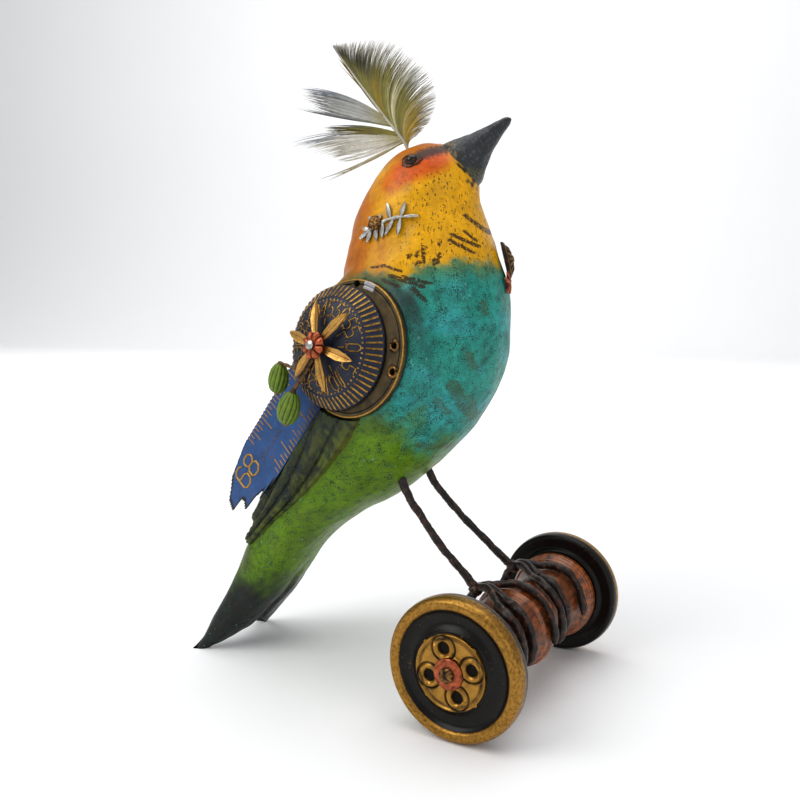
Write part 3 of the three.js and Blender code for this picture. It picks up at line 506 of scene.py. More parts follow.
def body_values(p, colours):
    """Paint colour, and the masks for dark strokes, fine specks and rubbed wear, from a point's place."""
    x, z = p[..., 0], p[..., 2]
    flank = p[..., (0, 2)]
    edge = 125.2 + 4.4 * ease(-38, -12, x) + 1.2 * ripple(p, 7, 8)
    blend = ease(edge - 1.8, edge + 1.8, z + 0.8 * ripple(p, 2.2, 9))
    paint = over(trunk_paint(p, colours), head_paint(p, colours), blend)
    seam = bump(z - edge + 1.2, 2.6)
    paint = over(paint, srgb(96, 118, 42), seam * 0.55)
    eye = stroke(flank, (-32.6, 160.2), (-31.2, 160.7), 3.6)
    socket = stroke(flank, (-32.4, 160.2), (-31.2, 160.7), 2.7)
    lore = stroke(flank, (-29.6, 161.6), (-21.5, 164.9), 2.9 + 0.7 * ripple(p, 1.5, 12))
    base = ease(0.8, -0.8, (x + 24.3) * -0.74 + (z - 163.3) * -0.42 + 2.6 + 1.5 * ripple(p, 3, 13))
    base = base * ease(-30, -25, x) * ease(150.5, 153.5, z)
    paint = over(paint, srgb(120, 74, 22), eye * (0.5 + 0.4 * ripple(p, 0.9, 10)).clip(0, 1))
    paint = over(paint, srgb(22, 18, 14), np.maximum(socket, lore * 0.9))
    paint = over(paint, srgb(34, 36, 36), base * 0.95)
    dark = sum(stroke(flank, a, b, w * 1.5) for a, b, w in BRUSHED + CRACKS)
    dark = dark + sum(stroke(flank, d, (d[0] + 0.2, d[1] + 0.9), 0.75) for d in DABS)
    arc = stroke(flank, (-41, 128.3), (-36.3, 128.8), 0.45) + stroke(flank, (-36.3, 128.8), (-30.8, 126.9),
            0.5)
    dark = dark + arc * 0.9
    worn = sum(stroke(flank, a, b, w * 1.6) for a, b, w in WORN)
    throat = ease(-44, -24, x) * ease(126, 131, z) * ease(160, 154, z)
    return {"Paint": paint, "Stroke": np.clip(dark, 0, 1), "Speck": throat, "Worn": np.clip(worn, 0, 1),
            "Trunk": 1 - blend}


def body_shape(sizes, colours):
    """The carved body: skin over shares and angles, ended at the tail's V, with knife marks."""
    rows, columns = 380, 216
    angle = np.arange(columns) * 2 * pi / columns
    share = shares(rows)[:, None] ** 0.96 * tail_end(angle)
    round_it = angle + 0 * share
    p = skin(share, round_it)
    away = outward(np.clip(share, 0.004, 0.996), round_it)
    cut = ripple(p, 16, 1) * 0.22 + ripple(p, 6, 2) * 0.07
    groove = bump(p[..., 1], 2.2) * ease(34, 22, p[..., 2]) * (cos(round_it) > 0)
    p = p + away * (sizes.carving * cut * ease(0, 0.03, share) - 0.9 * groove)[..., None]
    p = settled(p)
    p[..., 2] = np.maximum(p[..., 2], 0)
    partner = (columns // 2 - np.arange(columns)) % columns
    rim = p[-1]
    closing = [rim + (rim[partner] - rim) * f / 2 for f in (0.25, 0.5, 0.75, 1.0)]
    crown = np.repeat(p[:1].mean(1, keepdims=True), columns, axis=1)
    p = np.concatenate([crown, p, np.stack(closing)])
    return grid(p, **body_values(p, colours))


# --- wings

LEADING = ((-33, 97), (-37.6, 88.5), (-44.4, 80), (-52.6, 70), (-61.6, 60.8), (-71, 52.6), (-79.5, 45.8),
           (-88.4, 37.4))
TRAILING = ((-56, 110), (-62, 105), (-68.5, 93), (-75.4, 77), (-80.6, 64), (-84.6, 55), (-88.6, 47.4),
            (-91.4, 38.8))


def wing_shape(hand, sizes):
    """A folded wing: a patch of the flank between two edges, lifted by ridges that run to the tip."""
    rows, columns = 260, 120
    s = shares(rows)[:, None] + np.zeros(columns)
    t = np.zeros((rows, 1)) + shares(columns)
    flat = lambda line: np.array([(x, 0, z) for x, z in line])
    front, back = spline(flat(LEADING), s), spline(flat(TRAILING), s)
    place = front + (back - front) * t[..., None]
    bend = 0.35 * sin(pi * s) * (t - 0.5)
    lane = (t * 3.6 + 0.9 * s + bend) % 1
    ridge = 1 - np.abs(2 * lane ** 0.7 - 1)
    step = ease(0.36 + 0.1 * t, 0.38 + 0.1 * t, s)
    edge = np.minimum.reduce([ease(0, 0.05, t), ease(1, 0.96, t), ease(0, 0.02, s), ease(1, 0.985, s)])
    covert = 0.55 * (1 - step)
    step = np.maximum(step, 0.8 * ease(0.66 + 0.06 * t, 0.67 + 0.06 * t, s))
    rough = ripple(place, 6.0, 21) * 0.2 + ripple(place, 1.8, 22) * 0.06
    notch = ease(0.86, 0.9, s) * ease(0.45, 0.6, t) * 1.0
    height = (1.0 + covert + sizes.wing_ridge * ridge * (0.35 + 0.65 * step) + rough - notch) * edge
    outer = settled(on_flank(place[..., 0], place[..., 2], hand, height), seat=False)
    inner = settled(on_flank(place[..., 0], place[..., 2], hand, -1.6 * np.ones(s.shape)), seat=False)
    p = np.concatenate([outer, inner[:, ::-1]], axis=1)
    green = np.maximum(ease(0.22, 0.0, t + 0.12 * ripple(place, 4, 23)), ease(0.8, 1.0, t)) * ease(0.12,
            0.4, s)
    # Painted highlight: lighter ochre on the ridges' crests, in patches.
    crest = ease(0.6, 0.95, ridge + 0.15 * ripple(place, 9, 24)) * ease(0.3, 0.6,
            0.5 + 0.5 * ripple(place, 14, 25))
    paint = layered(
        srgb(50, 60, 38), s.shape + (3,),
        (srgb(28, 40, 44), ease(0.1, 1, ripple(place, 6, 26)) * 0.8),
        (srgb(66, 78, 26), ease(0.2, 1.1, ripple(place, 9, 27)) * 0.7),
        (srgb(96, 108, 34), green * 0.75),
        (srgb(96, 98, 42), crest * 0.45),
        # Painted shade: near black in the grooves between the ridges.
        (srgb(18, 22, 22), ease(0.3, 0.05, ridge) * 0.85),
        (srgb(132, 104, 46), ease(0.05, 0.0, t) * ease(0.5, 0.1, s) * 0.8))
    inner_paint = np.broadcast_to(srgb(40, 44, 36), s.shape + (3,))
    both_faces = np.concatenate([paint, inner_paint], 1)
    paint = np.concatenate([paint[:1].repeat(2, 1), both_faces, paint[-1:].repeat(2, 1)])
    return grid(closed(p), Paint=paint)


# --- beak and eyes

BEAK_TOP = ((-31, 162.5), (-24.3, 167.1), (-20, 168.3), (-14.6, 170.1), (-9.4, 172.1), (-6.2, 173.3),
            (-4.9, 173.1))
BEAK_UNDER = ((-20, 150.5), (-14.1, 155.0), (-12.6, 159.2), (-10.4, 164), (-7.2, 168.6), (-5.2, 171.4),
              (-4.7, 172.4))
BEAK_HALF = (7.6, 7.6, 5.8, 3.9, 2.5, 1.5, 0.5)


def beak_shape():
    """The beak: rings between its upper and lower edges, half width by station, roughly cut."""
    rows, columns = 110, 72
    share = shares(rows)
    top = spline([(x, h, z) for (x, z), h in zip(BEAK_TOP, BEAK_HALF)], share)[:, None]
    under = spline([(x, 0, z) for x, z in BEAK_UNDER], share)[:, None]
    angle = turns(columns)
    rise = (1 + cos(angle)[:, None]) / 2
    p = under + (top - under) * rise
    p[..., 1] = top[..., 1] * bowed(sin(angle), 2.2)
    lumps = 0.08 * ripple(p, 4.2, 41) + 0.03 * ripple(p, 1.4, 42) + 0.015 * ripple(p, 0.6, 43)
    middle = p.mean(1, keepdims=True)
    p = p + unit(p - middle) * (lumps * ease(0.02, 0.12, share[::-1])[:, None])[..., None]
    p = closed(p)
    root = ease(-17.5, -21.5, p[..., 0] + 0.2 * (p[..., 2] - 160) + 1.2 * ripple(p, 1.1, 44))
    paint = layered(
        srgb(46, 50, 52), p.shape,
        (srgb(92, 98, 104), ease(0.4, 1.1, ripple(p, 1.6, 45)) * 0.4),
        (srgb(150, 118, 34), root * ease(0.35, 0.7, ripple(p, 0.8, 46)) * 0.9),
        (srgb(120, 108, 40), ease(159.5, 156.5, p[..., 2]) * ease(0.1, 0.6, ripple(p, 0.7, 47)) * 0.8))
    return grid(p, Paint=paint)


def ball(centre, radii, rows=24, columns=36, **values):
    """A closed ball: radii times sine and cosine of two angles."""
    tilt = np.linspace(0, pi, rows)[:, None]
    angle = turns(columns)
    p = polar(sin(tilt), angle, cos(tilt))
    return grid(p * np.asarray(radii) + np.asarray(centre), **values)


EYE = np.array([[-31.8], [160.4]])


def eye_shape(hand):
    """A bead in a low ring of built-up paint."""
    x, z = EYE
    centre = on_flank(x, z, hand, np.array([-0.5]))[0]
    out = outward(*flank_place(x, z, hand))[0]
    out = out if out[1] * centre[1] > 0 else -out
    level = unit(np.cross(UP, out))
    tall = np.cross(out, level)
    angle = turns(48)
    wander = 2.35 + 0.22 * sin(3 * angle + 1) + 0.12 * sin(7 * angle)
    path = on_flank(centre[0] + (level[0] * cos(angle) * 1.3 + tall[0] * sin(angle)) * wander,
                    centre[2] + (level[2] * cos(angle) * 1.3 + tall[2] * sin(angle)) * wander, hand,
                    0.05 + 0 * angle)
    path = np.vstack([path, path[:1]])
    ring = tube(path, 0.2 + 0.06 * ripple(path, 1.2, 48), 8, out, Shade=np.ones(len(path)))
    return together(ball(centre, (1.9, 1.9, 1.9), Shade=0.0), ring)


# --- crest feather

QUILL = ((-37.4, 0, 162), (-37.8, 0, 166.4), (-46, 0, 177.4), (-56, 0, 190.4), (-62.8, 0, 199.8))
FAN_TIPS = ((-34.6, 170.2), (-30.2, 174.6), (-28.2, 180.6), (-29.2, 186.4), (-32.6, 191.6), (-37.2, 195.8),
            (-42, 199),
            (-47, 200.8), (-52, 200.9), (-57, 200.9), (-61.6, 200.6), (-63.4, 200.2))
# Each tuft: where it leaves the quill, where its tips end (first and last), how far it bows, barbs, colour.
TUFTS = (((-46.4, 177.9), (-59.5, 196.6), (-62.6, 197.6), -1.0, 26, (128, 116, 44)),
         ((-45.0, 176.4), (-75.6, 188.4), (-71.4, 182.2), 3.4, 74, (172, 172, 168)),
         ((-44.0, 175.0), (-77.0, 182.4), (-74.6, 180.6), -1.8, 7, (120, 122, 118)),
         ((-41.0, 171.4), (-67.2, 175.4), (-65.4, 173.0), 1.6, 34, (112, 104, 52)),
         ((-39.8, 169.8), (-78.2, 171.2), (-60.6, 163.4), 3.8, 78, (208, 204, 192)),
         ((-39.2, 168.6), (-68.4, 158.6), (-66.0, 156.8), -2.6, 6, (176, 166, 132)))


def barbs(root, bend, tip, width, paint, seed):
    """Many thin pointed blades, four-sided, each along a quadratic curve, widest in the middle."""
    count, steps = len(root), 9
    s = shares(steps)[None, :, None]
    path = (1 - s) ** 2 * root[:, None] + 2 * s * (1 - s) * bend[:, None] + s**2 * tip[:, None]
    rng = np.random.default_rng(seed)
    path[..., 1] += rng.normal(0, 0.12, (count, 1)) * s[..., 0]
    ahead = unit(np.gradient(path, axis=1))
    flat = unit(np.cross(ahead, np.array([0.0, 1.0, 0.0])))
    swell = (0.55 + 0.45 * sin(pi * np.clip(s * 1.1, 0, 1))) * (1 - s) ** 0.5 + 0.04
    half = width[:, None, None] / 2 * swell
    corner = np.array([(1, 0), (0, 1), (-1, 0), (0, -1)], float)
    p = path[:, :, None] + corner[:, :1] * (flat * half)[:, :, None]
    p = p + corner[:, 1:] * np.array([0.0, 0.07, 0.0])
    ends = [np.repeat(path[:, i:i + 1, None], 4, axis=2) for i in (0, steps - 1)]
    p = np.concatenate([ends[0], p, ends[1]], axis=1)
    paint = np.concatenate([paint[:, :1], paint, paint[:, -1:]], axis=1)[:, :, None].repeat(4, 2)
    return grid(p, Paint=paint)


def fan_shape(sizes):
    """The feather's broad side: barbs from the quill to a curved rim, tips gathered in small points."""
    count = sizes.fan_barbs
    rng = np.random.default_rng(7)
    i = (np.arange(count) + 0.5) / count
    clump = (np.floor(i * 17) + 0.5) / 17 + 0.012 * sin(9 * i)
    at = i + (clump - i) * 0.2 * rng.uniform(0.2, 1.4, count)
    flat = lambda line: np.array([(x, 0, z) for x, z in line])
    tip = spline(flat(FAN_TIPS), at)
    root = spline(QUILL, 0.24 + 0.66 * i ** 1.9)
    run = spline(QUILL, 0.26 + 0.66 * i ** 1.9) - root
    reach = np.linalg.norm(tip - root, axis=1, keepdims=True)
    bend = root + unit(run) * reach * 0.5 + (tip - root) * 0.16
    tip = root + (tip - root) * rng.uniform(0.9, 1.0, (count, 1))
    tip[:, 1] = 0.8 * sin(5 * i) + 0.25 * rng.normal(size=count)
    bend[:, 1] = 1.1 * sin(pi * i)
    s = shares(9)[None, :]
    i = i[:, None] + 0.02 * rng.normal(size=(count, 1))
    paint = layered(
        srgb(126, 120, 62), (count, 9, 3),
        (srgb(160, 132, 52), ease(0.36, 0.12, i + 0 * s) * 0.8),
        (srgb(150, 126, 40), bump(i - 0.6, 0.035) * ease(0.8, 0.3, s) + 0 * s),
        (srgb(206, 200, 170), bump(i - 0.43, 0.02) * 0.9 + 0 * s),
        (srgb(196, 190, 160), bump(i - 0.24, 0.014) * 0.7 + 0 * s))
    dark = ease(0.5, 0.72, i) * ease(0.97, 0.9, i) * ease(0.28, 0.62, s) * ease(0.95, 0.78, s)
    paint = over(paint, srgb(58, 58, 44), dark * 0.92)
    paint = over(paint, srgb(74, 70, 48), ease(0.62, 0.4, i) * ease(0.55, 0.8, s) * 0.3)
    paint = over(paint, srgb(150, 150, 150), ease(0.9, 0.955, i) * ease(1.1, 0.6, s + 0 * i) * 0.85)
    paint = over(paint, srgb(208, 206, 200), ease(0.66, 0.92, s + 0.07 * rng.normal(size=(count, 1)))
                 * 0.85)
    paint = paint * rng.uniform(0.72, 1.18, (count, 1, 1))
    return barbs(root, bend, tip, rng.uniform(0.7, 0.95, count), np.broadcast_to(paint, (count, 9, 3)), 8)


def down_shape():
    """The feather's loose side: tufts of barbs that leave the quill low down and spread."""
    shapes = []
    for number, (start, first, last, bow, count, colour) in enumerate(TUFTS):
        rng = np.random.default_rng(50 + number)
        i = (np.arange(count) + 0.5)[:, None] / count
        lift = lambda p: np.array([p[0], 0.0, p[1]])
        root = lift(start) + (lift(start) - np.array([-38.0, 0, 167.0])) * (-0.25 * i) + rng.normal(0,
                0.12, (count, 3))
        tip = lift(first) + (lift(last) - lift(first)) * i + rng.normal(0, 0.5, (count, 3))
        way = tip - root
        side = np.cross(unit(way), np.array([0.0, -1.0, 0.0]))
        bend = root + way * 0.5 + side * (bow * (1.1 - 1.6 * i)) + rng.normal(0, 0.25, (count, 3))
        bend[:, 1] = 0.6 * sin(3 * i[:, 0] + number)
        tip = root + way * rng.uniform(0.86, 1.0, (count, 1))
        s = shares(9)[None, :]
        paint = np.broadcast_to(srgb(*colour), (count, 9, 3)) * rng.uniform(0.8, 1.1, (count, 1, 1))
        paint = over(paint, srgb(150, 140, 62), ease(0.35, 0.0, s + 0 * i) * 0.75)
        paint = over(paint, srgb(112, 122, 138), ease(0.35, 0.0, i + 0 * s) * ease(0.3, 0.9, s) * 0.8)
        shapes.append(barbs(root, bend, tip, rng.uniform(0.45, 0.7, count), paint, 60 + number))
    return together(*shapes)


def quill_shape():
    """The quill: a thin tapering round shaft."""
    path = spline(QUILL, shares(60))
    return tube(path, np.linspace(0.62, 0.16, 60)[:, None], 12, (0, 1, 0), Shade=np.linspace(0.5, 0, 60))


# --- cheek branch

CHARM_MIDDLE = (-40.2, 141.2)
CHARM_STEM = ((-3.2, -2.6), (-1.2, -1.6), (0.6, -0.6), (3, 0.6), (6, 1.3), (9.6, 1.6), (13.2, 1.7))
CHARM_LEAVES = (((4.8, 1.0), (3.2, 5.9)), ((8.0, 1.4), (9.0, 6.0)), ((5.9, 1.2), (3.6, -3.6)),
                ((8.0, 1.4), (7.6, -3.8)),
                ((2.4, 0.2), (2.5, -4.4)), ((0.2, -0.8), (0.6, -5.2)), ((-1.4, -1.6), (-2.7, -5.5)),
                ((-2.8, -2.4), (-5.8, -4.2)), ((-2.2, -2.0), (-5.2, -0.9)), ((0, -0.4), (-3.0, 2.2)),
                ((0, 1), (1.6, 2.4)))


def flat_place(points, hand):
    """Level, up and outward steps from the twig's middle, following the flank's curve."""
    x = CHARM_MIDDLE[0] + points[..., 0] * 0.97
    z = CHARM_MIDDLE[1] + points[..., 1] * 0.99
    return on_flank(x, z, hand, points[..., 2])


def charm_shape(hand):
    """A cast twig: a round stem, and ribbed leaves whose half width is a sine of the way along."""
    stem = spline([(x, z, 0.75) for x, z in CHARM_STEM], shares(50))
    path = flat_place(stem, hand)
    wide = 0.5 + 0.1 * sin(np.linspace(0, 30, 50))
    shapes = [tube(path, wide[:, None], 10, (0, hand, 0.01), Shade=0.12 * np.ones(50))]
    s, t = shares(22)[:, None], turns(20)
    for root, tip in CHARM_LEAVES:
        root, tip = np.array(root), np.array(tip)
        way = (tip - root) * 1.04
        side = np.array([-way[1], way[0]]) / np.hypot(*way)
        half = 0.78 * sin(pi * np.clip(0.06 + 0.9 * s, 0, 1)) ** 0.8 * ease(0, 0.06, s) * ease(1, 0.96, s)
        across = half * cos(t)
        lift = 0.75 + half * 0.8 * sin(t) + 0.16 * bump(across, 0.16) * (sin(t) > 0) * ease(0, 0.2, s)
        local = np.stack([root[0] + way[0] * s + side[0] * across, root[1] + way[1] * s + side[1] * across,
                          lift], -1)
        # Painted shade: the silver darkened on each leaf's underside, towards the wood.
        shapes.append(grid(flat_place(local, hand),
                           Shade=ease(0.5, 0.0, sin(t) + 0 * s) * 0.8))
    return together(*shapes)


def nail_head(centre, out, radius, height, seed):
    """A hammered nail head: a low dome whose edge and top wander."""
    level = unit(np.cross(UP, out))
    tall = np.cross(out, level)
    profile = rounded(((0, 0), (radius * 0.96, 0), (radius, height * 0.3), (radius * 0.8, height * 0.8),
                       (radius * 0.4, height), (0, height)), 22)
    shape = turned(profile, 40)
    p = shape["v"]
    p = p * (1 + 0.05 * ripple(p, radius, seed))[:, None]
    p[:, 2] += 0.05 * ripple(p, radius * 0.7, seed + 1) * (p[:, 2] > height * 0.3)
    shape["v"] = centre + p[:, :1] * level + p[:, 1:2] * tall + p[:, 2:] * out
    shape["Shade"] = ease(0.2, 0.9, ripple(p, radius * 0.5, seed + 2))
    return shape


# --- figures

FIGURES = {
    "0": (((0.28, 0), (0.72, 0), (1, 0.16), (1, 0.84), (0.72, 1), (0.28, 1), (0, 0.84), (0, 0.16),
           (0.28, 0)),),
    "1": (((0.3, 0), (0.3, 1), (0.75, 1), (0.75, 0), (0.3, 0)),),
    "2": (((0, 0.84), (0.25, 1), (0.78, 1), (1, 0.86), (1, 0.62), (0, 0.14), (0, 0), (1, 0)),),
    "3": (((0, 1), (0.8, 1), (1, 0.86), (1, 0.64), (0.74, 0.53), (0.35, 0.53)),
          ((0.74, 0.53), (1, 0.4), (1, 0.14), (0.78, 0), (0, 0))),
    "4": (((0.74, 0), (0.74, 1), (0, 0.32), (1, 0.32)),),
    "5": (((1, 1), (0.08, 1), (0.08, 0.56), (0.76, 0.56), (1, 0.42), (1, 0.14), (0.76, 0), (0, 0)),),
    "6": (((0.95, 0.86), (0.72, 1), (0.28, 1), (0, 0.84), (0, 0.16), (0.28, 0), (0.72, 0), (1, 0.16),
           (1, 0.42),
           (0.74, 0.55), (0.04, 0.55)),),
    "8": (((0.28, 0.54), (0.04, 0.68), (0.04, 0.86), (0.28, 1), (0.72, 1), (0.96, 0.86), (0.96, 0.68),
           (0.72, 0.54),
           (0.28, 0.54)), ((0.28, 0.54), (0, 0.4), (0, 0.14), (0.28, 0), (0.72, 0), (1, 0.14), (1, 0.4),
                           (0.72, 0.54))),
}


def figure_lines(text, width, height, space):
    """Lines of a number's figures, each in a box of that width and height, side by side about 0."""
    total = len(text) * width + (len(text) - 1) * space
    for place, letter in enumerate(text):
        for line in FIGURES[letter]:
            line = np.array(line) * (width, height)
            yield line + (place * (width + space) - total / 2, -height / 2)


def denser(line, step):
    """More points along straight stretches, about a step apart, the corners kept."""
    pieces = []
    for a, b in zip(line[:-1], line[1:]):
        count = max(int(np.hypot(*(b - a)) / step), 1)
        pieces.append(a + (b - a) * np.arange(count)[:, None] / count)
    return np.vstack(pieces + [line[-1:]])


# --- dial and plate

DIAL_RADIUS = 18.7
DIAL_HEIGHT = 6.6
DIAL_FACE = ((0, 1), (0.2, 0.99), (0.42, 0.93), (0.63, 0.8), (0.75, 0.66), (0.82, 0.55), (0.86, 0.43),
             (0.93, 0.26),
             (0.985, 0.12), (1, 0.06))


def dial_height(radius):
    """The dial's face at a radius, by straight lines between its profile's points."""
    x, h = np.array(DIAL_FACE).T
    return DIAL_HEIGHT * np.interp(radius / DIAL_RADIUS, x, h)


def dial_shape(hand, sizes):
    """The dial: a turned face with its band raised by the cosine of many ribs, and its figures."""
    ribs = sizes.dial_ribs
    angle = turns(ribs * 10)
    share = np.concatenate([[0, 0.1, 0.25, 0.4, 0.55, 0.66], np.linspace(0.7, 1, 44)])
    radius = (share * DIAL_RADIUS)[:, None] + 0 * angle
    wave = ease(0.1, 0.75, cos(ribs * angle))
    band = (ease(0.79, 0.81, share) * ease(1.0, 0.985, share))[:, None]
    tick = (ease(0.73, 0.737, share) * ease(0.765, 0.758, share))[:, None] * ease(0.3, 0.6,
            cos(ribs * angle))
    height = dial_height(radius) + sizes.rib_height * band * wave + 0.14 * tick
    gilt = np.maximum(band * ease(0.35, 0.9, wave), tick)
    face = polar(radius, angle, height)
    foot = polar(radius[-1:], angle, 0)
    p = np.concatenate([face, foot, foot * [0, 0, 1]])
    gilt = np.concatenate([gilt, 0 * gilt[:1], 0 * gilt[:1]])
    shapes = [grid(p, Gilt=gilt)]
    turn = 0 if hand > 0 else pi
    for number in range(12):
        at = turn - np.radians(30) * number * hand
        out = np.array([cos(at), sin(at)])
        ahead = np.array([out[1], -out[0]]) * hand
        lines = list(figure_lines(str(5 * number), 2.0, 4.3, 0.75))
        lines = [denser(line, 0.4) + (0, 11.3) for line in lines]
        lines.append(np.array([(0, r) for r in np.linspace(6.2, 8.2, 6)]))
        for line in lines:
            flat = line[:, :1] * ahead + line[:, 1:] * out
            rise = dial_height(np.hypot(*flat.T)) + 0.03
            path = np.column_stack([flat, rise])
            shapes.append(tube(path, 0.19, 6, (0.02, 0.01, 1.0), Gilt=np.ones(len(path))))
    marks = turn + np.radians(np.arange(0, 360, 6))
    ends = 8.8 + np.array([-0.2, 0.5])
    path = polar(ends, marks[:, None], dial_height(ends))
    shapes.append(tube(path, 0.1, 4, (0, 0, 1.0), Gilt=np.ones(path.shape[:2])))
    return on_dial(together(*shapes), hand)


EYELETS = ((21.8, 1.2), (21.8, -6.2))
PLATE_HOLE = (5.7, 19.1)


def plate_shape(hand):
    """The brass plate: a turned disc with a rolled edge, a ring line, a hole and two eyelet seats."""
    angle = turns(420)
    r = np.concatenate([np.linspace(0, 14, 4), np.linspace(14.4, PLATE_RADIUS - 0.35, 56)])[:, None]
    x, y = PLATE_SHIFT + r * cos(angle), r * sin(angle)
    away = lambda place: np.hypot(x - place[0], y - place[1])
    line = bump(r - 19.0, 0.16) + 0 * angle
    height = -0.3 - 0.22 * line
    shade = 0.85 * line
    for place in EYELETS:
        d = away(place)
        height = height + 0.38 * ease(1.95, 1.7, d) - 0.5 * ease(1.5, 1.2, d) - 1.1 * ease(0.95, 0.75, d)
        # Painted shade: dark in each eyelet's hole and in a thin ring round its seat.
        shade = np.maximum(shade, np.maximum(ease(1.0, 0.85, d), 0.8 * bump(d - 2.05, 0.14)))
    hole = away(PLATE_HOLE)
    height = height - 1.5 * ease(1.0, 0.8, hole)
    # Painted shade: dark in the plate's hole.
    shade = np.maximum(shade, ease(1.25, 0.9, hole))
    patch = ease(0.12, 0.10, np.abs(angle - 1.25)) * ease(17.9, 18.2, r)
    below = [(PLATE_RADIUS - 0.12, -0.42), (PLATE_RADIUS, -0.8), (PLATE_RADIUS, -1.9),
             (PLATE_RADIUS - 0.3, -2.3), (0, -2.3)]
    edge, drop = np.array(below).T[..., None] + 0 * angle
    rim = np.stack([PLATE_SHIFT + edge * cos(angle), edge * sin(angle), drop], -1)
    p = np.concatenate([np.stack([x, y, height], -1), rim])
    zero = np.zeros((len(rim), len(angle)))
    gilt = np.concatenate([ease(PLATE_RADIUS - 0.75, PLATE_RADIUS - 0.4, r) + 0 * angle,
            zero + [[0.75], [0.5], [0.1], [0], [0]]])
    return grid(from_dial(p, hand), Shade=np.concatenate([shade, zero]), Gilt=gilt,
                Bare=np.concatenate([patch + 0 * r, zero]))


# --- flower

PETAL_BASE = DIAL_HEIGHT + 1.9
CAP_BASE = PETAL_BASE + 0.9


def flower_shape(hand, sizes):
    """Six pressed petals: half width by the way out, cupped by the square across, creased."""
    s, around = shares(36)[:, None], shares(33)
    t = np.concatenate([2 * around - 1, 1 - 2 * around[1:-1]])
    half = 1.62 * np.interp(s, (0, 0.12, 0.35, 0.62, 0.85, 0.95, 1), (0.42, 0.5, 0.8, 1, 0.62, 0.3, 0.02))
    top = np.concatenate([np.ones(33), np.zeros(31)])
    reach = 0.6 + 13.1 * s
    cup = 0.42 * t**2 * half / 2 - 0.22 * bump(t, 0.1) * ease(0.03, 0.2, s) * ease(1, 0.9, s)
    z = PETAL_BASE + 0.1 + cup - sizes.petal_droop * s**2 + 0.36 * top
    shapes = []
    for number in range(6):
        a = np.radians(-16.6 + 60 * number)
        wag = 0.18 * sin(2.3 * number + 1) * s
        y = t * half + 0.25 * sin(1.9 * number) * s**2
        p = np.stack([reach * cos(a) - y * sin(a), reach * sin(a) + y * cos(a), z + wag], -1)
        crease = bump(t, 0.1) * top * ease(0, 0.2, s) * 0.3
        shapes.append(grid(closed(p), Shade=doubled(crease)))
    hub = turned(rounded(((0, 0), (2.6, 0), (2.9, 0.3), (2.6, 0.6), (0, 0.6)), 16) + [0, PETAL_BASE], 48)
    hub["Shade"] = np.full(len(hub["v"]), 0.5)
    return on_dial(together(*shapes, hub), hand)


def cap_shape(hand):
    """A bead cap: a low dome whose edge is drawn in between eight lobes by the sine's absolute value."""
    angle = turns(160)
    lobe = np.abs(sin(4 * angle)) ** 0.7
    profile = rounded(((0.5, 0.0), (2.6, 0.0), (3.7, 0.25), (4.2, 0.9), (3.7, 1.6), (2.4, 1.95),
                       (1.3, 1.8), (0.5, 1.75)), 40)
    r, h = profile[:, :1], profile[:, 1:]
    outer = ease(0.9, 2.6, r)
    r = r * (1 - 0.2 * outer * (1 - lobe))
    h = h * (1 - 0.3 * outer * (1 - lobe)) + CAP_BASE
    p = polar(r, angle, h)
    p = np.concatenate([p[:1] * [0, 0, 1], p, p[-1:] * [0, 0, 1]])
    shade = outer * (1 - lobe) ** 2
    return grid(from_dial(p, hand), Shade=doubled(shade))


def pin_shape(hand):
    """A bright pin with a hammered round head."""
    head = CAP_BASE + 2.15
    profile = ((0, -12), (0.55, -12), (0.55, head), (1.2, head), (1.38, head + 0.25), (1.2, head + 0.6),
               (0.7, head + 0.85),
               (0, head + 0.92))
    shape = turned(profile, 28)
    p = shape["v"]
    p[:, 2] += 0.07 * ripple(p, 1.3, 71) * (p[:, 2] > head + 0.3)
    shape["v"] = from_dial(p, hand)
    shape["Shade"] = 0.3 * ease(0.2, 0.8, ripple(p, 1.0, 72))
    return shape


# --- pods and their twig

POD_HALF = 5.1
PODS = (((-19.4, -10.1, 5.2), (0.18, 1, 0.1), 0.96), ((-13.9, -19.0, 5.2), (0.32, 1, 0.1), 1.06))


def pod_ends(number):
    """Middle, lengthwise direction and size of a pod in the dial's frame."""
    middle, lean, size = PODS[number]
    return np.array(middle), unit(np.array(lean, float)), size


def pod_shape(hand, number):
    """A seed pod: half an ellipse turned, its radius swelled by the cosine of twelve ribs that twist a
    little."""
    middle, along, size = pod_ends(number)
    side = unit(np.cross(along, [0, 0, 1.0]))
    out = np.cross(side, along)
    s = np.linspace(-1, 1, 70)[:, None]
    angle = turns(144)
    body = 3.25 * size * np.sqrt(np.maximum(1 - np.abs(s) ** 2.3, 0)) * (1 - 0.10 * s)
    rib = np.abs(sin(6 * (angle + 0.25 * s))) ** 0.8
    radius = body * (0.88 + 0.12 * rib)
    p = (s[..., None] * POD_HALF * size * along + (radius * cos(angle))[..., None] * side
         + (radius * sin(angle))[..., None] * out) + middle
    tip = ease(-0.84, -0.96, s)
    paint = layered(
        srgb(108, 134, 34), p.shape,
        (srgb(92, 112, 26), ease(0.2, 0.9, ripple(p, 2.4, 80 + number)) * 0.7),
        # Painted shade: dark green in the grooves between the pod's ribs.
        (srgb(40, 44, 16), ease(0.5, 0.1, rib) * 0.9 + 0 * s),
        (srgb(120, 86, 36), tip * 0.9 + 0 * angle))
    pod = grid(p, Paint=paint)
    nub_path = middle - along * POD_HALF * size * np.linspace(0.93, 1.12, 6)[:, None]
    nub = tube(nub_path, np.array([0.9, 0.85, 0.7, 0.6, 0.45, 0.2])[:, None], 10, (0.1, 0, 1.0),
               Paint=np.tile(srgb(126, 92, 42), (6, 1)))
    return on_dial(together(pod, nub), hand)


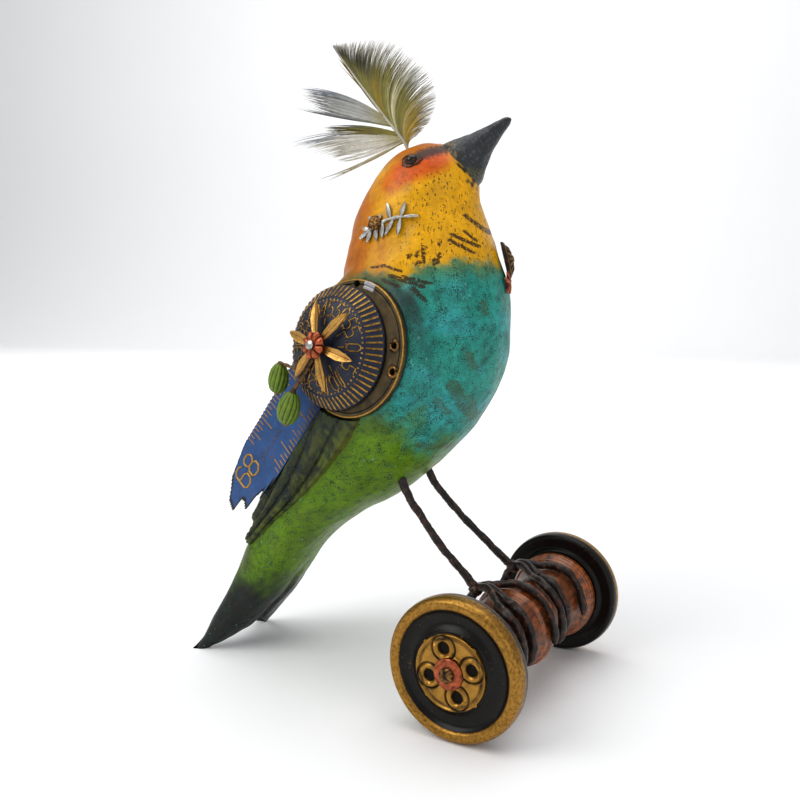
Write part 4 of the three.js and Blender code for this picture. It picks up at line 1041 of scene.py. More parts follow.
def twig_shape(hand):
    """The twig: a rough round stem from under the cap, over the dial, forking to the two pods."""
    lift = lambda x, y: np.array([x, y, dial_height(np.hypot(x, y)) + 0.95])
    tops = []
    for number in (0, 1):
        middle, along, size = pod_ends(number)
        tops.append(middle + along * POD_HALF * size * 0.96)
    fork = lift(-7.0, -8.6)
    main = spline([lift(-1.4, -2.0), lift(-4.0, -5.0), fork, tops[1] * 0.6 + fork * 0.4, tops[1]],
                  shares(60))
    branch = spline([lift(-6.6, -8.0), (tops[0] + fork) / 2 + [0, 0.8, 1], tops[0]], shares(36))
    shapes = []
    for path, wide in ((main, 0.66), (branch, 0.5)):
        path = path + 0.12 * np.stack([ripple(path, 4, k) for k in (81, 82, 83)], -1)
        swell = wide * (1 + 0.16 * ripple(path, 1.3, 84)) * (1 + 0.5 * ease(0.9, 1, shares(len(path))))
        shapes.append(tube(path, swell[:, None], 12, (0.1, 0.05, 1), Shade=ease(0, 1, ripple(path, 2, 85))))
    return on_dial(together(*shapes), hand)


# --- tape strip

TORN = ((0, 49), (1, 49.5), (0.2, 53.5), (2, 56), (1.2, 60.5), (3.6, 61.6), (4, 67.5), (6.4, 65.8),
        (8, 66.4), (8.6, 72.5),
        (12.2, 71), (14, 67.5), (16.2, 64), (18.6, 53), (19, 51))


def tape_surface(along, across, hand, lift=0.0):
    """The tape's upper face: flat along, a shallow curve across, in the bird's frame."""
    bow = 0.55 * ((across + STRIP_WIDTH / 2) / (STRIP_WIDTH / 2)) ** 2
    b = across + STRIP_OFF
    x = along * cos(STRIP_TURN) - b * sin(STRIP_TURN)
    y = along * sin(STRIP_TURN) + b * cos(STRIP_TURN)
    wave = 0.18 * sin(along / 9) * ease(20, 60, along)
    return from_dial(np.stack([x, y, STRIP_LOW + 0.5 + bow + wave + lift], -1), hand)


def tape_shape(hand):
    """The strip: rows run to a torn edge that depends on the place across, both long edges cut in small
    teeth."""
    columns, rows = 150, 190
    place = shares(columns)
    w0 = place * STRIP_WIDTH
    order = np.array(sorted(TORN))
    ends = np.interp(w0, order[:, 0], order[:, 1]) + 0.35 * sin(w0 * 9) * (w0 < 18.5)
    s = shares(rows)[:, None]
    along = STRIP_START + s * (ends - STRIP_START)
    tooth = np.abs(along / 1.59 % 1 - 0.5) * 2
    across = -w0 + (ease(0.06, 0, place) - ease(0.94, 1, place)) * (-0.32 * ease(0.35, 0.75, tooth))
    top = tape_surface(along, across, hand)
    under = tape_surface(along, across, hand, -0.42)
    scorch = ease(2.4, 0.2, (ends - along) + 0 * s) * 0.9
    shade = np.concatenate([scorch, scorch[:, ::-1]], 1)
    p = np.concatenate([top, under[:, ::-1]], 1)
    cap = [0.5 * (q + q[:, ::-1]) for q in (p[:1], p[-1:])]
    p = np.concatenate([cap[0], p, cap[1]])
    return grid(p, Shade=doubled(shade))


SIXTEENTH = 25.4 / 16


def tape_marks(hand):
    """Raised graduations of several lengths on both edges and a large number set sideways."""
    shapes = []
    for edge in (0, 1):
        for k in range(6, 44):
            at = STRIP_START + (k - 5) * SIXTEENTH
            if at > (48 if edge == 0 else 50):
                continue
            length = 6.2 if k % 8 == 0 else 4.6 if k % 4 == 0 else 3.4 if k % 2 == 0 else 2.4
            w = 0.3 + np.linspace(0, length, 8)
            across = -w if edge == 0 else -(STRIP_WIDTH - w)
            path = tape_surface(at + 0 * w, across, hand, 0.03)
            shapes.append(tube(path, 0.2, 4, DIAL[hand][3], Gilt=np.full(8, 0.7)))
    for line in figure_lines("68", 4.6, 7.4, 1.1):
        line = denser(line, 0.5)
        path = tape_surface(57.4 - line[:, 0], -12.0 - line[:, 1], hand, 0.05)
        shapes.append(tube(path, 0.34, 6, DIAL[hand][3], Gilt=np.ones(len(path))))
    rng = np.random.default_rng(90)
    for start in (44.0, 37.0):
        t = shares(30)
        path = tape_surface(start + 6 * t, -9.4 + 0.5 * sin(22 * t + rng.uniform(0, 3)), hand, 0.02)
        shapes.append(tube(path, 0.1, 4, DIAL[hand][3], Gilt=np.full(30, 0.6)))
    return together(*shapes)


# --- breast pieces


def facing(yaw, rise):
    """The outward direction of a piece on the breast, from its turn and rise in degrees."""
    a, e = np.radians(yaw), np.radians(rise)
    return np.array([cos(a) * cos(e), sin(a) * cos(e), sin(e)])


def standing(local, foot, out):
    """Level, up and outward steps from a foot, as places of the bird."""
    level = unit(np.cross(UP, out))
    return foot + local[..., :1] * level + local[..., 1:2] * np.cross(out, level) + local[..., 2:] * out


BUTTON_OUT = facing(14, 14)
STAR_OUT = facing(2, 4)


def button_shape():
    """A domed button: height by a curve of the radius, with pressed rays and two raised rings."""
    foot = node_middle("breast_button") - HOME - BUTTON_OUT * 1.3
    angle = turns(180)
    share = shares(60)[:, None]
    dome = np.interp(share, (0, 0.12, 0.3, 0.6, 0.85, 0.95, 1), (1.9, 2.3, 2.5, 2.05, 1.1, 0.75, 0.35))
    rays = ease(-0.2, 0.6, cos(16 * angle)) * ease(0.3, 0.36, share) * ease(0.82, 0.76, share)
    rings = bump(share - 0.24, 0.03) + bump(share - 0.88, 0.03)
    top = polar(6.0 * share, angle, dome + 0.16 * rays + 0.16 * rings)
    top[..., 2] += 0.06 * ripple(top, 2.2, 101)
    back = top[-1:] * [1, 1, 0]
    p = np.concatenate([top, back, back * [0, 0, 1]])
    shade = np.clip((1 - np.maximum(rays, rings + 0 * angle)) * 0.8, 0, 1)
    return grid(standing(p, foot, BUTTON_OUT), Shade=np.concatenate([shade, shade[-1:], shade[-1:]]))


def star_shape():
    """A cast star of five rounded points: radius by the cosine of five turns, higher in the middle."""
    foot = node_middle("breast_star") - HOME - STAR_OUT * 0.35
    angle = turns(160)
    point = (0.5 + 0.5 * cos(5 * (angle - pi / 2))) ** 1.4
    share = shares(24)[:, None]
    r = share * (1.9 + 1.95 * point)
    height = 1.15 - 0.7 * share**2 - 0.3 * share * (1 - point)
    top = polar(r, angle, height)
    back = top[-1:] * [1, 1, 0]
    p = np.concatenate([top, back, back * 0])
    shade = ease(0.7, 0.1, point) * share * 0.9
    return grid(standing(p, foot, STAR_OUT), Shade=np.concatenate([shade, shade[-1:], shade[-1:]]))


# --- spool

SPOOL_END = 34.2
MID_FLANGE = 12.5
END_FLANGE = 14.0
WAIST = 9.5


def spool_radius(along):
    """The spool's radius at a distance along the axle: three rims and two hollows by a power of the
    sine."""
    away = np.minimum(np.abs(along), 32.2)
    share = np.clip((away - 2) / 28.2, 0, 1)
    rim = MID_FLANGE + (END_FLANGE - MID_FLANGE) * share
    hollow = (rim - WAIST) * sin(pi * share) ** 0.8
    return np.where(away < 2, MID_FLANGE, np.where(away > 30.2, END_FLANGE, rim - hollow))


def spool_shape():
    """The turned spool: its radius along the axle, with beads beside the rims and fine tool rings."""
    s = np.linspace(-SPOOL_END, SPOOL_END, 420)
    bead = lambda at, wide, high: high * np.sqrt(np.maximum(1 - ((np.abs(s) - at) / wide) ** 2, 0))
    r = spool_radius(s) + 0.06 * sin(s * 7) * (np.abs(s) < 30)
    r = r + bead(0, 2.1, 0.6) + bead(4.2, 0.9, 0.45) + bead(28.6, 0.9, 0.5) - 0.35 * bump(np.abs(s) - 31.4,
            0.3)
    r = r - 0.5 * ease(33.6, 34.2, np.abs(s))
    angle = turns(150)
    radius = r[:, None] * (1 + 0 * angle)
    body = from_axle(s[:, None], radius, angle)
    ends = [from_axle(s[i] + 0 * angle, 0 * angle, angle)[None] for i in (0, -1)]
    p = np.concatenate([ends[0], body, ends[1]])
    # Painted shade: darker where the spool is narrower than its middle rim, in the hollows between the
    # rims.
    shade = (np.clip((MID_FLANGE - r) / 3, 0, 1) * 0.8)[:, None] + 0 * angle
    return grid(p, Shade=doubled(shade))


# --- legs and feet

ANKLE = np.radians(131)
ANKLE_RADIUS = 14.7
FEET = {1: -7.02, -1: 20.18}
# Each toe: how far along the axle from the ankle it ends, and how far round, in degrees.
TOES = ((-12.0, -30, 1.0), (-5.5, -32, 1.08), (4.5, -10, 0.95))


def rough_tube(path, radius, seed, sides=20):
    """A tube whose radius swells and dents along and round it, as wound and waxed wire does."""
    path = path + 0.14 * np.stack([ripple(path, 7, seed + k) for k in range(3)], -1)
    shape = tube(path, radius, sides, (0.3, 0.2, 1.0))
    spine = np.repeat(np.concatenate([path[:1], path, path[-1:]]), sides, axis=0)
    p = shape["v"]
    away = p - spine
    lump = 1 + 0.08 * ripple(p, 4.4, seed + 3) + 0.05 * ripple(p, 1.6, seed + 4)
    shape["v"] = spine + away * np.clip(lump, 0.7, 1.35)[:, None]
    shape["Shade"] = ease(0.1, 1.0, ripple(p, 3.0, seed + 5))
    return shape


def leg_shape(hand):
    """A bent leg from inside the belly to the ankle, thicker at the top and above the foot."""
    hip = np.array([-33.6, -12.0 * hand, 60.5])
    ankle = from_axle(np.array(FEET[hand]), np.array(ANKLE_RADIUS), np.array(ANKLE))
    bend = hip + (ankle - hip) * 0.4 + [-0.9, 0, -0.9]
    path = spline([hip + [-2.6, 0, 7], hip, bend, ankle], shares(110))
    s = shares(110)
    radius = 1.2 + 0.2 * ease(0.5, 0.2, s) + 0.3 * ease(0.86, 1, s)
    return rough_tube(path, radius[:, None], 110 + hand)


def foot_shape(hand, sizes):
    """Three toes over the spool and a short spur behind, joined in a knot at the ankle."""
    middle = FEET[hand]
    shapes = []
    s = shares(80)
    for number, (aside, end, thick) in enumerate(TOES):
        along = middle + aside * sizes.toe_spread * ease(0, 0.5, s) ** 0.8
        angle = ANKLE + (np.radians(end) - ANKLE) * s
        rest = np.maximum.reduce([spool_radius(along + t) for t in (-1.4, 0.0, 1.4)]) + 1.5
        radius = ANKLE_RADIUS + (rest - ANKLE_RADIUS) * ease(0.05, 0.3, s)
        wide = 1.25 * thick * (1 + 0.08 * cos(s * 2 * pi * 2.2)) * (0.6 + 0.4 * ease(1, 0.92, s))
        shapes.append(rough_tube(from_axle(along, radius, angle), wide[:, None], 120 + 7 * number + hand))
    back = np.linspace(ANKLE, np.radians(176), 40)
    spur = from_axle(middle + 0.6 * hand * shares(40), ANKLE_RADIUS - 0.6 * shares(40), back)
    shapes.append(rough_tube(spur, np.linspace(1.5, 1.0, 40)[:, None], 150 + hand))
    knot = ball(from_axle(np.array(middle), np.array(ANKLE_RADIUS + 0.2), np.array(ANKLE)),
                (2.2, 2.3, 2.0), 28, 40)
    knot["v"] = knot["v"] + 0.16 * ripple(knot["v"], 2, 160)[:, None]
    knot["Shade"] = ease(0.1, 1, ripple(knot["v"], 2.4, 161))
    return together(*shapes, knot)


# --- wheels

WHEEL_INNER = 34.5
WHEEL_FACE = 40.9
RIM_TOP = 41.5
DISC_LOW = 41.2
DISC_RADIUS = 10.5
HOLE_CIRCLE = 6.7
HOLE_TURNS = np.radians(18) + np.arange(4) * pi / 2


def around_axle(profile, side, count, **values):
    """A profile of radius and distance along the axle, carried round it on the right or left."""
    profile = np.asarray(profile, float)
    angle = turns(count)
    p = from_axle(-side * profile[:, 1:], profile[:, :1], angle)
    values = {n: np.asarray(v)[:, None] + 0 * angle for n, v in values.items()}
    return grid(p, **values)


def wheel_shape(side):
    """A turned wooden wheel: hub, hollow and ring within, a round gilded rim, and a sunk black face."""
    corners = [(0, WHEEL_INNER), (7, WHEEL_INNER), (9.3, 34.7), (9.6, 35.3), (10.4, 36.0), (12.6, 35.8),
               (13.2, 35.1), (14, 34.8),
               (14.8, 35.1), (15.4, 35.6), (17.2, 35.3), (18.8, 34.9), (19.6, 35.4), (20, 37), (20, 39),
               (19.7, 40.4),
               (18.9, 41.3), (17.9, 41.45), (16.9, 41.1), (16.3, 40.4), (15.2, 39.7), (13.0, 39.6),
               (11.4, 40.4), (10.8, 40.85),
               (6, WHEEL_FACE), (0, WHEEL_FACE)]
    profile = rounded(corners, 260)
    profile[:, 1] = np.clip(profile[:, 1], WHEEL_INNER, RIM_TOP)
    r, s = profile.T
    front = ease(39.2, 40.3, s)
    gilt = front * ease(16.2, 16.8, r) + 0.72 * ease(36, 38, s) * ease(19.3, 19.8, r)
    return around_axle(profile, side, 220, Gilt=np.clip(gilt, 0, 1))


def disc_shape(side):
    """A pressed disc: raised collars open on one side round four holes, and small nubs at its rim."""
    angle = turns(480)
    share = shares(80)[:, None]
    nub = lambda turn: np.exp(-(np.angle(np.exp(1j * (angle - turn - 0.5))) / 0.05) ** 2)
    edge = DISC_RADIUS + 0.35 * sum(nub(turn) for turn in HOLE_TURNS)
    r = share * edge
    x, y = r * cos(angle), r * sin(angle)
    height = 0.55 + 0.35 * ease(9.6, 10.2, r) * ease(10.6, 10.3, r) + 0.25 * ease(4.9, 4.3, r)
    shade = 0.5 * ease(9.9, 9.4, r) * ease(8.6, 9.2, r)
    for a in HOLE_TURNS:
        dx, dy = x - HOLE_CIRCLE * cos(a), y - HOLE_CIRCLE * sin(a)
        d = np.hypot(dx, dy)
        turn = np.angle(np.exp(1j * (np.arctan2(dy, dx) - a - 0.5)))
        collar = np.exp(-((d - 2.5) / 0.55) ** 4) * ease(0.4, 0.7, np.abs(turn))
        height = height + 0.42 * collar - 0.3 * bump(d - 3.5, 0.22) - 1.3 * ease(1.75, 1.5, d)
        # Painted shade: near black in each hole; darker also in the groove round it.
        shade = np.maximum.reduce([shade, ease(1.8, 1.5, d), 0.85 * bump(d - 3.5, 0.3)])
    height = np.maximum(height + 0.05 * sin(3 * angle + 1), -0.1)
    front = from_axle(-side * (DISC_LOW + height), r, angle)
    back = from_axle(-side * (DISC_LOW - 0.22 + 0 * r), r, angle)[[-1, 0]]
    p = np.concatenate([front, back])
    return grid(p, Shade=np.concatenate([shade, 0 * shade[:len(back)]]))


def washer_shape(side):
    """A domed copper washer with hammered edges."""
    profile = rounded(((0.9, 42.55), (4.0, 42.5), (4.35, 42.7), (4.2, 43.1), (3.2, 43.4), (1.8, 43.5),
                       (0.9, 43.45)), 40)
    shape = around_axle(np.vstack([profile, profile[:1]]), side, 72)
    p = shape["v"]
    across = (p - AXLE_OWN) * [1, 0, 1]
    shape["v"] = p + 0.02 * ripple(p, 2.2, 170 + side)[:, None] * unit(across)
    shape["Shade"] = 0.4 * ease(0, 1, ripple(p, 1.8, 171))
    return shape


def axle_nail_shape(side):
    """The axle nail: a shank into the spool and a hammered round head."""
    profile = ((0, 27), (0.95, 27), (0.95, 43.5), (1.8, 43.5), (2.15, 43.8), (1.95, 44.3), (1.2, 44.7),
               (0, 44.8))
    shape = around_axle(profile, side, 40)
    p = shape["v"]
    shape["v"] = p + 0.05 * ripple(p, 1.4, 175 + side)[:, None] * ALONG_AXLE
    shape["Shade"] = ease(0, 0.8, ripple(p, 1.1, 176 + side))
    return shape


def eyelet_shape(hand, place):
    """A rolled eyelet: a ring by two circles, standing on the plate."""
    round_it = np.linspace(0, 2 * pi, 17)
    shape = turned(np.column_stack([1.35 + 0.42 * cos(round_it), -0.05 + 0.36 * sin(round_it)]), 40)
    shape["v"] = from_dial(shape["v"] + [*place, 0], hand)
    shape["Shade"] = ease(0, 0.9, ripple(shape["v"], 1, 99))
    return shape


# --- finishes


class Net:
    """Makes and joins the nodes of one tree."""

    def __init__(self, tree):
        self.tree = tree

    def node(self, kind, feeds=(), **settings):
        node = self.tree.nodes.new(kind)
        for key, value in settings.items():
            setattr(node, key, value)
        for socket, value in feeds:
            if isinstance(value, bpy.types.NodeSocket):
                self.tree.links.new(node.inputs[socket], value)
            else:
                node.inputs[socket].default_value = value
        return node

    def noise(self, vector, scale, detail=3.0, rough=0.55):
        feeds = (("Vector", vector), ("Scale", scale), ("Detail", detail), ("Roughness", rough))
        return self.node("ShaderNodeTexNoise", feeds).outputs[0]

    def ramp(self, value, low, high, start=0.0, end=1.0):
        feeds = ((0, value), (1, low), (2, high), (3, start), (4, end))
        return self.node("ShaderNodeMapRange", feeds).outputs[0]

    def maths(self, operation, a, b):
        return self.node("ShaderNodeMath", ((0, a), (1, b)), operation=operation).outputs[0]

    def times(self, a, b):
        return self.maths("MULTIPLY", a, b)

    def plus(self, a, b):
        return self.maths("ADD", a, b)

    def minus(self, a, b):
        return self.maths("SUBTRACT", a, b)

    def mix(self, weight, a, b, blend="MIX"):
        feeds = ((0, weight), (6, a), (7, b))
        return self.node("ShaderNodeMix", feeds, data_type="RGBA", blend_type=blend).outputs[2]

    def value(self, name):
        return self.node("ShaderNodeAttribute", attribute_name=name).outputs["Fac"]

    def paint(self):
        return self.node("ShaderNodeAttribute", attribute_name="Paint").outputs["Color"]

    def place(self):
        return self.node("ShaderNodeTexCoord").outputs["Object"]

    def stretched(self, vector, scale, turn=0.0):
        feeds = ((0, vector), (2, (0, 0, turn)), (3, scale))
        return self.node("ShaderNodeMapping", feeds).outputs[0]

    def use(self, group, **feeds):
        node = self.tree.nodes.new("ShaderNodeGroup")
        node.node_tree = group
        for title, value in feeds.items():
            socket = node.inputs[title.replace("_", " ")]
            if isinstance(value, bpy.types.NodeSocket):
                self.tree.links.new(socket, value)
            else:
                socket.default_value = value
        return node.outputs

    def mottled(self, at, tint, scale, amount):
        return self.use(mottle(), Vector=at, Colour=tint, Scale=scale, Amount=amount)

    def flecked(self, at, tint, spots, scale, cover):
        return self.use(flecks(), Vector=at, Colour=tint, Spots=spots, Scale=scale, Cover=cover)

    def aged(self, at, bright, tarnish, hollows, scale, amount):
        return self.use(patina(), Vector=at, Metal=bright, Tarnish=tarnish, Hollows=hollows, Scale=scale,
                        Amount=amount)


def colour(red, green, blue):
    """A screen colour as the four numbers of a colour socket."""
    return (*srgb(red, green, blue), 1.0)


def shared(name, inputs, outputs, fill):
    """A node group made once: a vector, the inputs with their plain values, and the outputs."""
    if name in bpy.data.node_groups:
        return bpy.data.node_groups[name]
    tree = bpy.data.node_groups.new(name, "ShaderNodeTree")
    tree.interface.new_socket("Vector", in_out="INPUT", socket_type="NodeSocketVector")
    for title, value in inputs.items():
        kind = "Float" if isinstance(value, float) else "Color"
        tree.interface.new_socket(title, in_out="INPUT",
                socket_type=f"NodeSocket{kind}").default_value = value
    for title in outputs:
        kind = "Color" if title == "Colour" else "Float"
        tree.interface.new_socket(title, in_out="OUTPUT", socket_type=f"NodeSocket{kind}")
    net = Net(tree)
    given = tree.nodes.new("NodeGroupInput").outputs
    taken = tree.nodes.new("NodeGroupOutput").inputs
    for title, socket in fill(net, given).items():
        tree.links.new(taken[title], socket)
    return tree


WHITE = (1, 1, 1, 1)
BLACK = (0, 0, 0, 1)


def mottle():
    """Lightens and darkens a colour in patches of two sizes."""
    def fill(net, given):
        coarse = net.noise(given["Vector"], given["Scale"])
        fine = net.noise(given["Vector"], net.times(given["Scale"], 6.0))
        sum_ = net.plus(coarse, net.times(fine, 0.6))
        away = net.times(net.minus(sum_, 0.8), given["Amount"])
        level = net.plus(away, 1.0)
        return {"Colour": net.mix(1.0, given["Colour"], level, "MULTIPLY"), "Value": sum_}
    return shared("Mottle", {"Colour": WHITE, "Scale": 200.0, "Amount": 0.6}, ("Colour", "Value"), fill)


def flecks():
    """Lays small spots of a second colour where a fine noise is high; more cover gives more spots."""
    def fill(net, given):
        spots = net.noise(given["Vector"], given["Scale"], 2.0, 0.6)
        drift = net.noise(given["Vector"], net.times(given["Scale"], 0.12), 1.0)
        level = net.plus(spots, net.times(net.minus(drift, 0.5), 0.35))
        low = net.minus(0.78, net.times(given["Cover"], 0.3))
        mask = net.ramp(level, low, net.plus(low, 0.05))
        return {"Colour": net.mix(mask, given["Colour"], given["Spots"]), "Mask": mask}
    inputs = {"Colour": WHITE, "Spots": BLACK, "Scale": 1500.0, "Cover": 0.5}
    return shared("Flecks", inputs, ("Colour", "Mask"), fill)


def patina():
    """Metal darkened in its hollows and in uneven patches; the mask also dulls it."""
    def fill(net, given):
        cloud = net.noise(given["Vector"], given["Scale"], 4.0, 0.6)
        dirt = net.plus(given["Hollows"], net.ramp(cloud, 0.42, 0.72, 0.0, given["Amount"]))
        dirt = net.node("ShaderNodeClamp", ((0, dirt),)).outputs[0]
        return {"Colour": net.mix(dirt, given["Metal"], given["Tarnish"]), "Mask": dirt,
                "Roughness": net.ramp(dirt, 0.0, 1.0, 0.27, 0.62)}
    inputs = {"Metal": WHITE, "Tarnish": BLACK, "Hollows": 0.0, "Scale": 500.0, "Amount": 0.6}
    return shared("Patina", inputs, ("Colour", "Mask", "Roughness"), fill)


def scratches():
    """Fine lines in one direction: noise on coordinates squeezed across it."""
    def fill(net, given):
        lines = net.noise(net.stretched(given["Vector"], (1, 1, 14), 0.3), given["Scale"], 2.0, 0.7)
        return {"Height": lines}
    return shared("Scratches", {"Scale": 400.0}, ("Height",), fill)


def finish(name, fill, **plain):
    """A material: the shader's plain values, and what a function of the net feeds it."""
    material = bpy.data.materials.new(name)
    material.use_nodes = True
    net = Net(material.node_tree)
    shader = material.node_tree.nodes["Principled BSDF"]
    for title, value in plain.items():
        shader.inputs[title.replace("_", " ")].default_value = value
    for title, value in fill(net, net.place()).items():
        if title == "Height":
            bump = net.node("ShaderNodeBump", (("Height", value[0]), ("Distance", value[1] * MM),
                    ("Strength", 1.0)))
            net.tree.links.new(shader.inputs["Normal"], bump.outputs[0])
        else:
            net.tree.links.new(shader.inputs[title], value)
    return material


def carved_paint():
    """Thin paint rubbed over carved wood: uneven, flecked, with dark knife strokes, specks and worn
    spots."""
    def fill(net, at):
        even = net.mottled(at, net.paint(), 130.0, 0.75)
        fine = net.mottled(at, even["Colour"], 620.0, 0.55)
        trunk = net.value("Trunk")
        dots = net.flecked(at, fine["Colour"], colour(30, 56, 40), 3200.0,
                           net.plus(net.times(trunk, 0.4), 0.3))
        # Painted glints: small bright cyan flecks on the trunk's paint, standing in for glints of light.
        painted_glints = net.use(flecks(), Vector=net.stretched(at, (1, 1, 0.6)), Colour=dots["Colour"],
                         Spots=colour(104, 190, 178),
                         Scale=900.0, Cover=net.times(trunk, 0.25))
        shade = net.mix(net.times(trunk, 0.5), dots["Colour"], painted_glints["Colour"])
        speck = net.ramp(net.noise(net.stretched(at, (1, 1, 0.5)), 1500.0, 1.0), 0.63, 0.67)
        shade = net.mix(net.times(speck, net.times(net.value("Speck"), 0.85)), shade,
                        colour(74, 52, 14))
        rough_edge = net.ramp(net.noise(at, 1300.0, 3.0, 0.7), 0.36, 0.62)
        cut = net.times(net.value("Stroke"), net.ramp(rough_edge, 0.05, 0.75))
        cut = net.ramp(cut, 0.12, 0.42)
        shade = net.mix(net.times(cut, 0.9), shade, colour(58, 36, 12))
        streaks = net.noise(net.stretched(at, (1, 1, 2.5), 0.4), 900.0, 3.0, 0.75)
        grain = net.ramp(net.noise(net.stretched(at, (0.35, 0.35, 2.2), 0.2), 620.0, 4.0, 0.72), 0.585,
                         0.66)
        shade = net.mix(net.times(net.times(grain, trunk), 0.5), shade, colour(26, 66, 58))
        rubbed = net.ramp(net.times(net.value("Worn"), streaks), 0.4, 0.48)
        shade = net.mix(net.times(rubbed, 0.6), shade, colour(72, 78, 40))
        high = net.plus(net.noise(at, 420.0, 4.0, 0.6), net.times(cut, -0.8))
        high = net.plus(high, net.times(dots["Mask"], -0.25))
        return {"Base Color": shade, "Roughness": net.ramp(even["Value"], 0.5, 1.1, 0.36, 0.56),
                "Height": (high, 0.22)}
    return finish("Rubbed paint", fill, Coat_Weight=0.18, Coat_Roughness=0.2, Specular_IOR_Level=0.26)


def coat(name, base, patches, rough, spots=None, relief=None, span=(0.5, 1.1), **plain):
    """A plain coat: mottled (scale, amount), rougher by its mottling, with spots (colour, scale, cover) and
    relief."""
    def fill(net, at):
        even = net.mottled(at, base(net), patches[0], patches[1])
        shade = even["Colour"]
        if spots:
            tint, scale, cover = spots
            shade = net.flecked(at, shade, colour(*tint), scale, cover)["Colour"]
        fed = {"Base Color": shade, "Roughness": net.ramp(even["Value"], *span, *rough)}
        if relief:
            fed["Height"] = (net.noise(at, *relief[:-1]), relief[-1])
        return fed
    return finish(name, fill, **plain)


def between(high, low):
    """A base that goes from one colour to another with the points' shade."""
    return lambda net: net.mix(net.value("Shade"), colour(*high), colour(*low))


def wing_paint():
    """Dark paint on rough carving: brushed, with lighter grit; the lighter ridges are a painted highlight
    in the wing's colours.
    """
    return coat("Wing paint", Net.paint, (300.0, 0.9), (0.4, 0.62), ((104, 104, 52), 1700.0, 0.36),
                (900.0, 4.0, 0.7, 0.5), Coat_Weight=0.08, Coat_Roughness=0.3, Specular_IOR_Level=0.3)


def beak_paint():
    """Slate paint with a low shine over knife cuts."""
    return coat("Slate paint", Net.paint, (420.0, 1.0), (0.3, 0.5), ((120, 126, 124), 2000.0, 0.2),
                (900.0, 4.0, 0.65, 0.3), Coat_Weight=0.12, Coat_Roughness=0.25, Specular_IOR_Level=0.4)


def eye_gloss():
    """A dark brown bead under clear coat; its ring is dull."""
    def fill(net, at):
        tone = net.mix(net.noise(at, 900.0), colour(16, 12, 10), colour(60, 38, 16))
        return {"Base Color": net.mix(net.value("Shade"), tone, colour(30, 20, 14)),
                "Roughness": net.ramp(net.value("Shade"), 0.0, 1.0, 0.08, 0.5)}
    return finish("Eye", fill, Coat_Weight=0.2, Coat_Roughness=0.1, Specular_IOR_Level=0.35)


def feather_finish(name):
    """Feather barbs: their own colour, uneven along their length, soft and a little clear."""
    return coat(name, Net.paint, (500.0, 0.5), (0.55, 0.75), span=(0.4, 1.2), Sheen_Weight=0.15,
                Sheen_Roughness=0.4, Specular_IOR_Level=0.35)


def quill_horn():
    """Pale horn, darker near the head."""
    return coat("Quill", between((196, 192, 180), (122, 116, 96)), (700.0, 0.4), (0.3, 0.5))


def metal(name, bright, dark, scale=600.0, amount=0.6, relief=0.08):
    """A worked metal with fine scratches, darkened where its Shade value is high: tarnish in its hollows,
    and painted shade in holes and on undersides.
    """
    def fill(net, at):
        worn = net.aged(at, bright, dark, net.value("Shade"), scale, amount)
        lines = net.use(scratches(), Vector=at, Scale=700.0)["Height"]
        high = net.plus(net.noise(at, 900.0, 3.0), net.times(lines, 0.6))
        return {"Base Color": worn["Colour"], "Roughness": worn["Roughness"], "Height": (high, relief),
                "Metallic": net.ramp(worn["Mask"], 0.0, 1.0, 1.0, 0.55)}
    return finish(name, fill)


def dull_brass():
    """The plate: dark aged brass, gold where its edge is rubbed, bare silver where the cover wore
    through."""
    def fill(net, at):
        worn = net.aged(at, colour(98, 86, 64), colour(34, 29, 18), net.value("Shade"), 260.0, 0.75)
        ragged = net.noise(at, 900.0, 3.0, 0.7)
        gold = net.ramp(net.times(net.value("Gilt"), net.plus(ragged, 0.35)), 0.5, 0.75)
        shade = net.mix(gold, worn["Colour"], colour(176, 136, 64))
        bare = net.ramp(net.plus(net.value("Bare"), net.times(ragged, 0.4)), 0.62, 0.76)
        shade = net.mix(net.times(bare, 0.85), shade, colour(178, 176, 180))
        lines = net.use(scratches(), Vector=at, Scale=900.0)["Height"]
        return {"Base Color": shade, "Roughness": net.ramp(worn["Mask"], 0.0, 1.0, 0.34, 0.6),
                "Height": (lines, 0.07),
                "Metallic": net.ramp(worn["Mask"], 0.0, 1.0, 0.95, 0.45)}
    return finish("Aged brass", fill)


def dial_enamel():
    """Matt navy enamel with fine grit; raised lines are gilt, broken where they wore."""
    def fill(net, at):
        blue = net.mottled(at, colour(20, 28, 50), 350.0, 0.8)
        grit = net.flecked(at, blue["Colour"], colour(96, 96, 84), 2600.0, 0.28)
        gilt = net.ramp(net.value("Gilt"), 0.4, 0.6)
        gold = net.aged(at, colour(190, 148, 70), colour(80, 62, 30), 0.0, 900.0, 1.0)
        pits = net.noise(at, 1600.0, 3.0, 0.6)
        return {"Base Color": net.mix(gilt, grit["Colour"], gold["Colour"]), "Height": (pits, 0.12),
                "Roughness": net.ramp(gilt, 0.0, 1.0, 0.5, 0.34), "Metallic": net.times(gilt, 0.9)}
    return finish("Navy enamel", fill, Coat_Weight=0.12, Coat_Roughness=0.35)


